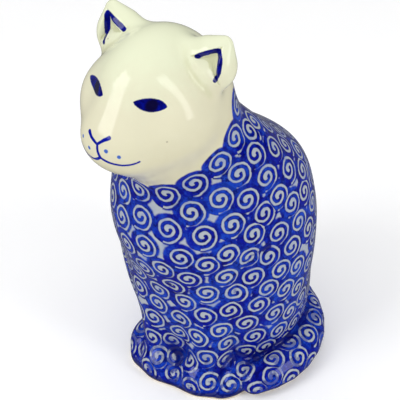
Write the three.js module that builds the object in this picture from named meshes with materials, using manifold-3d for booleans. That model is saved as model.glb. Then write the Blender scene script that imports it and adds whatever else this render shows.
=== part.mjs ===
// Seated cat figurine, slip-cast in stoneware and glazed.
// Millimetres, +Z up. The cat faces -Y and its left is +X.
// Sizes are measured from the body's own upright axis; the finished figure is then centred on its box.
// The body, head, ears, legs, paws, tail and floor are the sections that are luted into one casting.
//
// A section's form is a soft blend of ellipsoids and rods: a function that is negative inside the clay,
// zero on its surface and positive outside. A grid is then cast onto that surface along rays from inside.
import * as THREE from 'three';
import { mergeVertices } from 'three/addons/utils/BufferGeometryUtils.js';
import Module from 'manifold-3d';

const wasm = await Module();
wasm.setup();

// ---- driving dimensions ----
const WALL = 5;               // thickness of the cast wall
const LUTE_GAP = 0.3;         // clear line between two luted sections
const FLOOR_THICKNESS = 5;
const DRAIN_RADIUS = 11;      // round drain hole in the floor
const DRAIN_CENTRE_Y = 6;
const STAND_CLEARANCE = 0.02; // the legs, paws and tail end this far above the floor's underside

// Trunk: height, centre in Y, half width, half depth.
const TRUNK = [
  [0, 6.5, 30, 31],
  [14, 6.5, 32.5, 32],
  [32, 5, 37, 35],
  [52, 5.5, 39.5, 38],
  [72, 5.5, 39.5, 37.5],
  [90, 3, 36.5, 34],
  [106, -6, 31, 24.5],
  [120, -13, 22.5, 18.5],
];
const CHEST = { centre: [0, -15.5, 78], radii: [28, 24, 28.5], blend: 10 };
const HAUNCH = { centre: [18.5, 7, 28.5], radii: [17, 25.5, 31.5], blend: 7 };

const FORELEG = { shoulder: [11.5, -17, 76], ankle: [11, -22, 10], shoulderRadius: 12.2, ankleRadius: 7.6 };
const FORELEG_TOP = 56;       // the leg's own section ends here, inside the shoulder
const FORE_PAW = { centre: [9.5, -26.5, 5.5], radii: [9.5, 9, 8], blend: 3 };
const HIND_PAW = { centre: [21, -16, 5.5], radii: [8.3, 12, 7.5] };

// Head, in its own frame: the skull's centre is the origin, the face looks along -Y.
const HEAD = { centre: [0, -27.5, 131.6], nod: -11, lean: 4, radii: [20.8, 26.5, 27.4] };
const MUZZLE = { centre: [0, -19.6, -6.6], radii: [13.4, 12, 10.4], blend: 8 };
const NOSE_RIDGE = { brow: [0, -13, 8], tip: [0, -20, -5], browRadius: 9, tipRadius: 6, blend: 8 };
const CHEEK = { centre: [11.2, -6, 0.4], radii: [12.4, 12.4, 12.4], blend: 8 };
const EAR = { base: [17.7, 2.1, 18.9], tip: [21.7, 2.3, 25], baseRadius: 10.8, tipRadius: 4.3, flatness: 0.72 };
const EAR_HOLLOW = { base: [18.5, -8.8, 20], tip: [21, -5.5, 23.5], baseRadius: 4.6, tipRadius: 2.6 };
const EAR_RIM_BLEND = 1.5;

// Neck, in the body's frame.
const NECK = { top: [0, -17, 126], bottom: [0, -13, 102], topRadius: 20, bottomRadius: 21, blend: 5 };

// Tail: a ridge on the ground along part of an ellipse, from behind the back to beside the left hind paw.
const TAIL = { halfWidth: 45.5, halfDepth: 41.5, centreY: 3, radius: 8.2, startAngle: 112, endAngle: -40 };

// The head section is cut from the body section by a plane that rises from under the chin to the nape.
const LUTE_PLANE = { point: [0, -28, 105], rise: 22 };

// ---- how finely the forms are faceted ----
const TRUNK_GRID = [32, 16];
const HEAD_GRID = [32, 20];
const LEG_GRID = [14, 9];
const EAR_GRID = [18, 12];
const PAW_GRID = [12, 8];
const DRAIN_SIDES = 24;
const TAIL_ARC_SEGMENTS = 6;
const TAIL_STEPS = 12;
const CAST_STEPS = 30;        // halvings of a ray until it meets the surface
const REACH = 90;             // longest ray

// ---- finishes ----
const finish = (color, roughness) => new THREE.MeshStandardMaterial({ color, roughness, metalness: 0 });
const CREAM_GLAZE = [0xece8d0, 0.12];
const STAMPED_GLAZE = [0x4a5cae, 0.12];
const BARE_CLAY = [0xd9cdb4, 0.85];

// ---- forms ----
const DEGREE = Math.PI / 180;
const vector = (point) => new THREE.Vector3(...point);
const mirrored = ([x, y, z], side) => [side * x, y, z];

function softMin(a, b, blend) {
  const share = THREE.MathUtils.clamp(0.5 + (0.5 * (b - a)) / blend, 0, 1);
  return THREE.MathUtils.lerp(b, a, share) - blend * share * (1 - share);
}

const joined = (form, other, blend) => (p) => softMin(form(p), other(p), blend);
const hollowed = (form, tool, blend) => (p) => -softMin(-form(p), tool(p), blend);

function ellipsoidForm({ centre, radii }, side = 1) {
  const middle = vector(mirrored(centre, side));
  const size = vector(radii);
  return (p) => {
    const scaled = p.clone().sub(middle).divide(size);
    const length = scaled.length();
    return (length * (length - 1)) / Math.max(scaled.divide(size).length(), 1e-9);
  };
}

// A tapered rod with round ends.
function rodForm(from, to, fromRadius, toRadius) {
  const axis = new THREE.Line3(vector(from), vector(to));
  return (p) => {
    const along = axis.closestPointToPointParameter(p, true);
    const radius = THREE.MathUtils.lerp(fromRadius, toRadius, along);
    return axis.at(along, new THREE.Vector3()).distanceTo(p) - radius;
  };
}

// The trunk's elliptic sections, joined smoothly from floor to shoulders.
const trunkHeights = TRUNK.map(([height]) => height);
const [trunkCentreY, trunkHalfWidth, trunkHalfDepth] = [1, 2, 3].map((column) => (
  new THREE.SplineCurve(TRUNK.map((row) => new THREE.Vector2(row[0], row[column])))
));
const TRUNK_TOP = trunkHeights.at(-1);

function trunkSection(height) {
  const z = THREE.MathUtils.clamp(height, 0, TRUNK_TOP);
  const upper = Math.max(1, trunkHeights.findIndex((station) => station >= z));
  const part = (z - trunkHeights[upper - 1]) / (trunkHeights[upper] - trunkHeights[upper - 1]);
  const t = (upper - 1 + part) / (TRUNK.length - 1);
  return [trunkCentreY, trunkHalfWidth, trunkHalfDepth].map((curve) => curve.getPoint(t).y);
}

function trunkForm(p) {
  const [centreY, halfWidth, halfDepth] = trunkSection(p.z);
  const across = Math.hypot(p.x / halfWidth, (p.y - centreY) / halfDepth);
  return (across - 1) * Math.min(halfWidth, halfDepth);
}

const bodyForm = [-1, 1].reduce(
  (form, side) => joined(form, ellipsoidForm(HAUNCH, side), HAUNCH.blend),
  joined(trunkForm, ellipsoidForm(CHEST), CHEST.blend),
);

const headPlace = new THREE.Matrix4()
  .makeRotationFromEuler(new THREE.Euler(HEAD.nod * DEGREE, HEAD.lean * DEGREE, 0))
  .setPosition(...HEAD.centre);
const headInverse = headPlace.clone().invert();

function headForm() {
  let face = ellipsoidForm({ centre: [0, 0, 0], radii: HEAD.radii });
  face = joined(face, ellipsoidForm(MUZZLE), MUZZLE.blend);
  const { brow, tip, browRadius, tipRadius } = NOSE_RIDGE;
  face = joined(face, rodForm(brow, tip, browRadius, tipRadius), NOSE_RIDGE.blend);
  for (const side of [-1, 1]) face = joined(face, ellipsoidForm(CHEEK, side), CHEEK.blend);
  const neck = rodForm(NECK.top, NECK.bottom, NECK.topRadius, NECK.bottomRadius);
  return joined((p) => face(p.clone().applyMatrix4(headInverse)), neck, NECK.blend);
}

function legForm(side) {
  const { shoulder, ankle, shoulderRadius, ankleRadius } = FORELEG;
  const leg = rodForm(mirrored(shoulder, side), mirrored(ankle, side), shoulderRadius, ankleRadius);
  return joined(leg, ellipsoidForm(FORE_PAW, side), FORE_PAW.blend);
}

function earForm(side) {
  const deepen = ([x, y, z]) => [side * x, y / EAR.flatness, z];
  const cone = rodForm(deepen(EAR.base), deepen(EAR.tip), EAR.baseRadius, EAR.tipRadius);
  const flattened = (p) => EAR.flatness * cone(new THREE.Vector3(p.x, p.y / EAR.flatness, p.z));
  const [base, tip] = [EAR_HOLLOW.base, EAR_HOLLOW.tip].map((point) => mirrored(point, side));
  const hollow = rodForm(base, tip, EAR_HOLLOW.baseRadius, EAR_HOLLOW.tipRadius);
  return hollowed(flattened, hollow, EAR_RIM_BLEND);
}

// ---- solids ----
function solid(geometry) {
  geometry.deleteAttribute('normal');
  geometry.deleteAttribute('uv');
  const merged = mergeVertices(geometry, 1e-4);
  const mesh = new wasm.Mesh({
    numProp: 3,
    vertProperties: new Float32Array(merged.attributes.position.array),
    triVerts: new Uint32Array(merged.index.array),
  });
  return new wasm.Manifold(mesh);
}

// The point on the ray from `start` where the form is `grow` from its surface.
function castRay(form, start, direction, grow) {
  let [near, far] = [0, REACH];
  const point = new THREE.Vector3();
  for (let step = 0; step < CAST_STEPS; step += 1) {
    const middle = (near + far) / 2;
    point.copy(start).addScaledVector(direction, middle);
    if (form(point) < grow) near = middle;
    else far = middle;
  }
  return point;
}

// A sphere's grid, cast outwards from `start` onto the form.
function castFrom(start, form, grow, [sides, rows]) {
  const geometry = new THREE.SphereGeometry(1, sides, rows);
  geometry.rotateX(Math.PI / 2);
  const position = geometry.attributes.position;
  for (let i = 0; i < position.count; i += 1) {
    const direction = new THREE.Vector3().fromBufferAttribute(position, i).normalize();
    position.setXYZ(i, ...castRay(form, vector(start), direction, grow));
  }
  return solid(geometry);
}

// A column's grid, cast outwards level by level from an upright axis onto the form.
function castColumn(axisAt, bottom, top, form, grow, [sides, rows]) {
  const geometry = new THREE.CylinderGeometry(1, 1, 1, sides, rows);
  geometry.rotateX(Math.PI / 2);
  const position = geometry.attributes.position;
  for (let i = 0; i < position.count; i += 1) {
    const height = THREE.MathUtils.lerp(bottom, top, position.getZ(i) + 0.5);
    const start = vector(axisAt(height));
    const direction = new THREE.Vector3(position.getX(i), position.getY(i), 0);
    const onAxis = direction.lengthSq() < 0.5;
    position.setXYZ(i, ...(onAxis ? start : castRay(form, start, direction.normalize(), grow)));
  }
  return solid(geometry);
}

const trunkAxis = (height) => [0, trunkSection(height)[0], height];
const castBody = (grow) => castColumn(trunkAxis, 0, TRUNK_TOP, bodyForm, grow, TRUNK_GRID);
const castHead = (grow) => castFrom(HEAD.centre, headForm(), grow, HEAD_GRID);

function castLeg(side, grow) {
  const axis = (height) => [side * FORELEG.ankle[0], FORELEG.ankle[1], height];
  return castColumn(axis, 0, FORELEG_TOP, legForm(side), grow, LEG_GRID);
}

function castHindPaw(side, grow) {
  return castFrom(mirrored(HIND_PAW.centre, side), ellipsoidForm(HIND_PAW, side), grow, PAW_GRID);
}

// Everything on one side of the lute plane, `clearance` away from it.
function besidePlane(above, clearance) {
  const size = 400;
  const block = new THREE.BoxGeometry(size, size, size);
  block.translate(0, 0, (above ? 1 : -1) * (size / 2 + clearance));
  block.rotateX(LUTE_PLANE.rise * DEGREE);
  block.translate(...LUTE_PLANE.point);
  return solid(block);
}

// A level slab of the whole plan, from one height to another.
function slab(low, high) {
  const geometry = new THREE.BoxGeometry(200, 200, high - low);
  geometry.translate(0, 0, (low + high) / 2);
  return solid(geometry);
}

// ---- the sections ----
const outer = castHead(0).add(castBody(0));
const grown = castHead(LUTE_GAP).add(castBody(LUTE_GAP));
const cavity = castHead(-WALL).add(castBody(-WALL));
const shell = outer.subtract(cavity);
const aboveGround = slab(STAND_CLEARANCE, 200);

const headCasting = shell.intersect(besidePlane(true, LUTE_GAP / 2));
const torsoCasting = shell
  .intersect(besidePlane(false, LUTE_GAP / 2))
  .intersect(slab(FLOOR_THICKNESS + LUTE_GAP, 200));

function basePlate() {
  const drain = new THREE.CylinderGeometry(DRAIN_RADIUS, DRAIN_RADIUS, 3 * FLOOR_THICKNESS, DRAIN_SIDES);
  drain.rotateX(Math.PI / 2);
  drain.translate(0, DRAIN_CENTRE_Y, 0);
  return castBody(0).intersect(slab(0, FLOOR_THICKNESS)).subtract(solid(drain));
}

function ear(side) {
  const middle = mirrored(EAR.base, side);
  return castFrom(middle, earForm(side), 0, EAR_GRID).transform(headPlace.elements).subtract(grown);
}

function foreleg(side) {
  const apart = new THREE.BoxGeometry(100, 200, 200);
  apart.translate(side * (50 + LUTE_GAP / 2), 0, 100);
  return castLeg(side, 0).subtract(grown).intersect(solid(apart)).intersect(aboveGround);
}

function hindPaw(side) {
  return castHindPaw(side, 0).subtract(grown).subtract(castLeg(side, LUTE_GAP)).intersect(aboveGround);
}

function tail() {
  const { halfWidth, halfDepth, centreY, radius, startAngle, endAngle } = TAIL;
  const points = Array.from({ length: TAIL_STEPS + 1 }, (_, i) => {
    const angle = DEGREE * THREE.MathUtils.lerp(startAngle, endAngle, i / TAIL_STEPS);
    const x = Math.cos(angle) * (halfWidth - radius);
    const y = Math.sin(angle) * (halfDepth - radius) + centreY;
    return new THREE.Vector3(x, y, radius);
  });
  const section = new THREE.Shape();
  section.absarc(0, 0, radius, 0, 2 * Math.PI, false);
  const ridge = new THREE.ExtrudeGeometry(section, {
    extrudePath: new THREE.CatmullRomCurve3(points),
    steps: TAIL_STEPS,
    curveSegments: TAIL_ARC_SEGMENTS,
  });
  const ends = [points[0], points[TAIL_STEPS]].map((point) => {
    const centre = point.toArray();
    return castFrom(centre, ellipsoidForm({ centre, radii: [radius, radius, radius] }), 0, PAW_GRID);
  });
  return ends
    .reduce((all, end) => all.add(end), solid(ridge))
    .subtract(grown)
    .subtract(castHindPaw(1, LUTE_GAP))
    .subtract(castLeg(1, LUTE_GAP))
    .intersect(aboveGround);
}

// ---- the figure ----
const figure = new THREE.Group();

function addPiece(name, manifold, [colour, roughness]) {
  const { vertProperties, triVerts } = manifold.getMesh();
  const geometry = new THREE.BufferGeometry();
  geometry.setAttribute('position', new THREE.BufferAttribute(new Float32Array(vertProperties), 3));
  geometry.setIndex(new THREE.BufferAttribute(new Uint32Array(triVerts), 1));
  const mesh = new THREE.Mesh(geometry, finish(colour, roughness));
  mesh.name = name;
  figure.add(mesh);
}

addPiece('base_plate', basePlate(), BARE_CLAY);
addPiece('torso_casting', torsoCasting, STAMPED_GLAZE);
addPiece('head_casting', headCasting, CREAM_GLAZE);
addPiece('tail', tail(), STAMPED_GLAZE);
for (const [word, side] of [['left', 1], ['right', -1]]) {
  addPiece(`${word}_ear`, ear(side), CREAM_GLAZE);
  addPiece(`${word}_foreleg`, foreleg(side), STAMPED_GLAZE);
  addPiece(`${word}_hind_paw`, hindPaw(side), STAMPED_GLAZE);
}

// The origin is the middle of the whole figure's outer box, on the ground.
const middle = new THREE.Box3().setFromObject(figure).getCenter(new THREE.Vector3());
figure.position.set(-middle.x, -middle.y, 0);
figure.updateMatrixWorld(true);

export default figure;
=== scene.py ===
"""A seated cat figurine in stamped and glazed stoneware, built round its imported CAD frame.

Sizes are in millimetres in the maker's frame: X to the cat's left, Y to its back, Z up from the ground.
A mesh is moved to the row frame, in metres, when it is made.
"""

import logging
import math
from collections.abc import Callable
from dataclasses import dataclass, field
from enum import Enum, IntEnum
from functools import partial, reduce

import bpy
import numpy as np
from mathutils import Matrix, Vector

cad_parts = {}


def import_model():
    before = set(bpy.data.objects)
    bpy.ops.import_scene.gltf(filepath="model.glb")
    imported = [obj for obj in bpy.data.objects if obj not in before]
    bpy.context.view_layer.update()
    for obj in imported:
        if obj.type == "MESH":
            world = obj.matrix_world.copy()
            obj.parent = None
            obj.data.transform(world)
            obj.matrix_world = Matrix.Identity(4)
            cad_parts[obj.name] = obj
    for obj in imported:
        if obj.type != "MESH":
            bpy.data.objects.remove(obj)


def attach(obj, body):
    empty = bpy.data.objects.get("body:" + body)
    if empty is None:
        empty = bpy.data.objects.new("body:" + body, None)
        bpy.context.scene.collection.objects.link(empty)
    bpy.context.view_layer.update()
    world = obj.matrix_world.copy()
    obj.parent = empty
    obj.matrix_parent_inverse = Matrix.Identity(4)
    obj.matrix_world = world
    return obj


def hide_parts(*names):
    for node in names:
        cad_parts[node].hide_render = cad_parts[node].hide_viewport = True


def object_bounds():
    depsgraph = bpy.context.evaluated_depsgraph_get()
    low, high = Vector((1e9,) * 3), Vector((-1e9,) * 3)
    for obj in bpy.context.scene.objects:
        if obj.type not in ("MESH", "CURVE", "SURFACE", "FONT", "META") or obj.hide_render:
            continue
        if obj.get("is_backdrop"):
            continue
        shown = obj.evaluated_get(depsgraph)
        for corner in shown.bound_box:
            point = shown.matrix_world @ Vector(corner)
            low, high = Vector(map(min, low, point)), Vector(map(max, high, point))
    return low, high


LOG = logging.getLogger("cat_figurine")
MM = 0.001
BODY = "root"
NECKLINE_DROP = 3.5
NECKLINE_DROP_HEIGHTS = (104.0, 120.0)
NECKLINE_SAMPLES = 500
BATCH = 20000
CLOSE_PACKED = 0.866
STAMP_LAYERS = ("stamp_a", "stamp_b", "stamp_c")
TINY = 1e-9
FLAT = 0.01

Field = Callable[[np.ndarray], np.ndarray]
Triple = tuple[float, float, float]


class Slot(Enum):
    """The record's material slots."""

    CREAM = "cream_glaze"
    STAMPED = "stamped_glaze"
    CLAY = "bare_clay"


class Zone(IntEnum):
    """The sections that the skin of the figurine is divided into."""

    VOID = 0
    BASE = 1
    TORSO = 2
    HEAD = 3
    LEFT_EAR = 4
    RIGHT_EAR = 5
    LEFT_FORELEG = 6
    RIGHT_FORELEG = 7
    LEFT_HIND_PAW = 8
    RIGHT_HIND_PAW = 9
    TAIL = 10


# ---------------------------------------------------------------- forms


def soft_min(a: np.ndarray, b: np.ndarray, reach: float) -> np.ndarray:
    """Joins two forms with a smoothed hollow.

    Args:
        a: distance to the first form.
        b: distance to the second form.
        reach: how far the smoothing reaches, in mm.

    Returns:
        The distance to the joined form.
    """
    h = np.clip(0.5 + 0.5 * (b - a) / reach, 0.0, 1.0)
    return b + (a - b) * h - reach * h * (1.0 - h)


def soft_max(a: np.ndarray, b: np.ndarray, reach: float) -> np.ndarray:
    """Keeps what is inside both forms, with a rounded edge of that reach."""
    return -soft_min(-a, -b, reach)


def ellipsoid(points: np.ndarray, centre: Triple, radii: Triple) -> np.ndarray:
    """Distance to an ellipsoid.

    Args:
        points: places, in mm.
        centre: its centre.
        radii: its three half sizes.

    Returns:
        A close estimate of the distance, negative inside.
    """
    local = points - np.array(centre)
    size = np.array(radii, float)
    near = np.linalg.norm(local / size, axis=-1)
    slope = np.linalg.norm(local / (size * size), axis=-1)
    return near * (near - 1.0) / np.maximum(slope, TINY)


def rod(points: np.ndarray, start: Triple, end: Triple, start_radius: float, end_radius: float) -> np.ndarray:
    """Distance to a round-ended rod that tapers.

    Args:
        points: places, in mm.
        start: one end of its axis.
        end: the other end.
        start_radius: radius at the start.
        end_radius: radius at the end.

    Returns:
        The distance, negative inside.
    """
    origin = np.array(start, float)
    axis = np.array(end, float) - origin
    share = np.clip(((points - origin) @ axis) / (axis @ axis), 0.0, 1.0)
    gap = np.linalg.norm(points - (origin + share[..., None] * axis), axis=-1)
    return gap - (start_radius + (end_radius - start_radius) * share)


def taper(
    points: np.ndarray, start: Triple, end: Triple, start_radius: float, end_radius: float
) -> np.ndarray:
    """Distance to the hull of two balls, with straight sides that touch both; arguments as for rod."""
    origin = np.array(start, float)
    axis = np.array(end, float) - origin
    length = np.linalg.norm(axis)
    along = (points - origin) @ (axis / length)
    out = np.linalg.norm(points - origin - along[..., None] * (axis / length), axis=-1)
    lean = (start_radius - end_radius) / length
    side = math.sqrt(max(1.0 - lean * lean, 0.0))
    slid = along * side - out * lean
    first = np.hypot(out, along) - start_radius
    last = np.hypot(out, along - length) - end_radius
    flank = out * side + along * lean - start_radius
    return np.where(slid < 0, first, np.where(slid > length * side, last, flank))


def mirrored(points: np.ndarray) -> np.ndarray:
    """The points brought to the cat's left side."""
    flipped = points.copy()
    flipped[..., 0] = np.abs(flipped[..., 0])
    return flipped


def smoothstep(value: np.ndarray, low: float, high: float) -> np.ndarray:
    """0 below low, 1 above high, and an easy curve between."""
    t = np.clip((value - low) / (high - low), 0.0, 1.0)
    return t * t * (3.0 - 2.0 * t)


def run_length(track: np.ndarray) -> np.ndarray:
    """How far along a line of points each of them lies."""
    return np.concatenate([[0], np.cumsum(np.linalg.norm(np.diff(track, axis=0), axis=1))])


def square_gaps(these: np.ndarray, those: np.ndarray) -> np.ndarray:
    """The squared distance from each of these points to each of those."""
    return (these**2).sum(1)[:, None] + (those**2).sum(1)[None] - 2 * these @ those.T


@dataclass(frozen=True)
class Mound:
    """A rounded swelling low on the body: a paw, or the clay that fills between paws or under the tail."""

    centre: Triple
    radii: Triple
    blend: float

    def distance(self, points: np.ndarray) -> np.ndarray:
        """Distance to the mound alone."""
        return ellipsoid(points, self.centre, self.radii)

    def joined(self, found: np.ndarray, points: np.ndarray) -> np.ndarray:
        """A form's distance with the mound joined to it."""
        return soft_min(found, self.distance(points), self.blend)


@dataclass
class Torso:
    """The hollow body with its forelegs, hind paws and the tail that lies round it."""

    stations: tuple = (
        (0, 6.5, 30, 31),
        (14, 6.5, 32.5, 32),
        (32, 5, 37, 35),
        (52, 5.5, 39.5, 38),
        (72, 5.5, 39.5, 37.5),
        (90, 3, 36.5, 34),
        (106, -6, 31, 24.5),
        (120, -13, 22.5, 18.5),
    )
    crown: float = 122
    crown_blend: float = 12
    chest: tuple = ((0, -15.5, 78), (28, 24, 28.5), 10)
    haunch: tuple = ((18.5, 7, 28.5), (17.6, 26, 32), 3.2)
    shoulder: Triple = (11.5, -17, 76)
    ankle: Triple = (11, -22, 10)
    leg_radii: tuple = (12.2, 7.6)
    leg_blend: float = 3
    leg_top: float = 56
    leg_gap: float = 0.8
    fore_paw: Mound = Mound((9.3, -26.3, 4.4), (9.3, 9, 9), 3.6)
    hind_paw: Mound = Mound((21, -16, 4.5), (8.3, 12, 8.3), 2.8)
    web: Mound = Mound((-1, -28.3, 3), (11, 6.6, 5), 3.5)
    apron: Mound = Mound((16.5, -25.3, 1.8), (8.5, 6.6, 4.6), 3)
    tail_bed: Mound = Mound((17, 6, 1.5), (24, 29, 5), 2)
    tail_half_width: float = 45.4
    tail_half_depth: float = 41.3
    tail_centre_y: float = 3
    tail_start: float = 112
    tail_end: float = -40
    tail_links: int = 14
    tail_radii: tuple = ((0, 0.5, 0.85, 1), (8.5, 8.2, 7.6, 6.0))
    tail_heights: tuple = ((0, 0.5, 1), (9, 8, 6.5))
    tail_blend: float = 1.8
    tail_reach: float = 30
    tail_far: float = 60.0
    haunch_crease: tuple = (
        (34, -13, 71),
        (31, -19.5, 69.5),
        (28.5, -22.5, 64),
        (26, -24, 56),
        (24.5, -24, 44),
        (23, -23, 30),
        (22.5, -19, 15),
    )
    leg_crease: tuple = ((3.2, -34.5, 56), (2.8, -31, 36), (1.8, -27.5, 18))
    crease_depth: float = 0.9
    crease_width: float = 1.9
    crease_far: float = 9.0
    ground_edge: float = 0.5
    wall: float = 4.5
    cover: float = 2.5
    seam: float = 0.05

    def __post_init__(self) -> None:
        """Draws the trunk's profile and the tail's line once."""
        table = np.array(self.stations, float)
        self.profile_z = np.linspace(0, table[-1, 0], 481)
        self.profile = [self._flow(table[:, 0], table[:, k]) for k in (1, 2, 3)]
        share = np.linspace(0, 1, self.tail_links)
        angle = np.radians(self.tail_start + (self.tail_end - self.tail_start) * share)
        self.link_radii = np.interp(share, *self.tail_radii)
        height = np.interp(share, *self.tail_heights)
        x = np.cos(angle) * (self.tail_half_width - self.link_radii)
        y = self.tail_centre_y + np.sin(angle) * (self.tail_half_depth - self.link_radii)
        self.links = np.stack([x, y, height], 1)

    def _flow(self, stations: np.ndarray, values: np.ndarray) -> np.ndarray:
        """A smooth curve through the stations' values, sampled up the trunk.

        Args:
            stations: heights of the stations.
            values: the value at each.

        Returns:
            The value at each height of the profile.
        """
        slope = np.gradient(values, stations)
        z = self.profile_z
        i = np.clip(np.searchsorted(stations, z, side="right") - 1, 0, len(stations) - 2)
        step = stations[i + 1] - stations[i]
        t = (z - stations[i]) / step
        start = (1 + 2 * t) * (1 - t) ** 2 * values[i] + t * (1 - t) ** 2 * step * slope[i]
        end = t * t * (3 - 2 * t) * values[i + 1] + t * t * (t - 1) * step * slope[i + 1]
        return start + end

    def trunk(self, points: np.ndarray) -> np.ndarray:
        """Distance to the lofted trunk."""
        z = np.clip(points[..., 2], 0, self.profile_z[-1])
        centre, wide, deep = (np.interp(z, self.profile_z, curve) for curve in self.profile)
        reach = np.sqrt((points[..., 0] / wide) ** 2 + ((points[..., 1] - centre) / deep) ** 2)
        side = (reach - 1) * np.minimum(wide, deep)
        return soft_max(side, points[..., 2] - self.crown, self.crown_blend)

    def tail(self, points: np.ndarray) -> np.ndarray:
        """Distance to the tail, only worked out near the ground."""
        found = np.full(points.shape[:-1], self.tail_far)
        low = points[..., 2] < self.tail_reach
        near = points[low]
        if len(near):
            chains = [
                rod(near, self.links[i], self.links[i + 1], self.link_radii[i], self.link_radii[i + 1])
                for i in range(self.tail_links - 1)
            ]
            found[low] = np.minimum.reduce(chains)
        return found

    def rump(self, points: np.ndarray) -> np.ndarray:
        """Distance to the trunk with chest and haunches, without legs or tail."""
        left = mirrored(points)
        found = soft_min(self.trunk(points), ellipsoid(points, *self.chest[:2]), self.chest[2])
        return soft_min(found, ellipsoid(left, *self.haunch[:2]), self.haunch[2])

    def foreleg(self, points: np.ndarray) -> np.ndarray:
        """Distance to the left foreleg's shaft."""
        return rod(points, self.shoulder, self.ankle, *self.leg_radii)

    def creases(self, points: np.ndarray) -> np.ndarray:
        """How deep the mould's creases go in at each place: round the haunches and between the forelegs."""
        left = mirrored(points)
        found = np.full(points.shape[:-1], self.crease_far)
        for place, line in ((left, self.haunch_crease), (points, self.leg_crease)):
            for start, end in zip(line, line[1:]):
                found = np.minimum(found, rod(place, start, end, 0, 0))
        return self.crease_depth * np.exp(-((found / self.crease_width) ** 2))

    def distance(self, points: np.ndarray) -> np.ndarray:
        """Distance to the whole body, cut flat on the ground."""
        left = mirrored(points)
        found = soft_min(self.rump(points), self.foreleg(left), self.leg_blend) + self.creases(points)
        found = self.web.joined(found, points)
        for paired in (self.fore_paw, self.hind_paw, self.apron):
            found = paired.joined(found, left)
        found = self.tail_bed.joined(found, points)
        found = soft_min(found, self.tail(points), self.tail_blend)
        return soft_max(found, -points[..., 2], self.ground_edge)

    def leg_field(self, points: np.ndarray, side: int) -> np.ndarray:
        """Negative where the skin belongs to one foreleg and its paw.

        Args:
            points: places, in mm.
            side: 1 for the cat's left, -1 for its right.

        Returns:
            The field that the skin is cut by.
        """
        near = points * np.array([side, 1, 1])
        leg = np.minimum(self.foreleg(near), self.fore_paw.distance(near))
        rest = np.minimum(self.rump(points), self.hind_paw.distance(near))
        inside = np.maximum(leg - rest, self.leg_gap - near[..., 0])
        return np.maximum(inside, points[..., 2] - self.leg_top)

    def paw_field(self, points: np.ndarray, side: int) -> np.ndarray:
        """Negative where the skin belongs to one hind paw; arguments as for leg_field."""
        near = points * np.array([side, 1, 1])
        leg = np.minimum(self.foreleg(near), self.fore_paw.distance(near))
        rest = np.minimum(np.minimum(self.rump(points), self.tail(points)), leg)
        return self.hind_paw.distance(near) - rest

    def tail_field(self, points: np.ndarray) -> np.ndarray:
        """Negative where the skin belongs to the tail."""
        paws = self.hind_paw.distance(mirrored(points))
        return self.tail(points) - np.minimum(self.rump(points), paws)

    def divide(self, skin: "Skin") -> None:
        """Marks out the legs, the hind paws and the tail on the body's skin."""
        for side, zone in ((1, Zone.LEFT_FORELEG), (-1, Zone.RIGHT_FORELEG)):
            skin.divide(partial(self.leg_field, side=side), Zone.TORSO, zone)
        for side, zone in ((1, Zone.LEFT_HIND_PAW), (-1, Zone.RIGHT_HIND_PAW)):
            skin.divide(partial(self.paw_field, side=side), Zone.TORSO, zone)
        skin.divide(self.tail_field, Zone.TORSO, Zone.TAIL)

    def build(self, shop: "Workshop") -> list[bpy.types.Object]:
        """Makes the body's six pieces.

        Args:
            shop: the skin, the stamps and the finishes.

        Returns:
            The finished objects.
        """
        outer = {
            Zone.LEFT_FORELEG: "left_foreleg",
            Zone.RIGHT_FORELEG: "right_foreleg",
            Zone.LEFT_HIND_PAW: "left_hind_paw",
            Zone.RIGHT_HIND_PAW: "right_hind_paw",
            Zone.TAIL: "tail",
        }
        made = [shop.shell(name, Slot.STAMPED, {zone: 0.0}, self.cover) for zone, name in outer.items()]
        depths = {Zone.TORSO: 0.0} | {zone: self.cover + self.seam for zone in outer}
        made.append(shop.shell("torso_casting", Slot.STAMPED, depths, self.wall))
        return made


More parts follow.
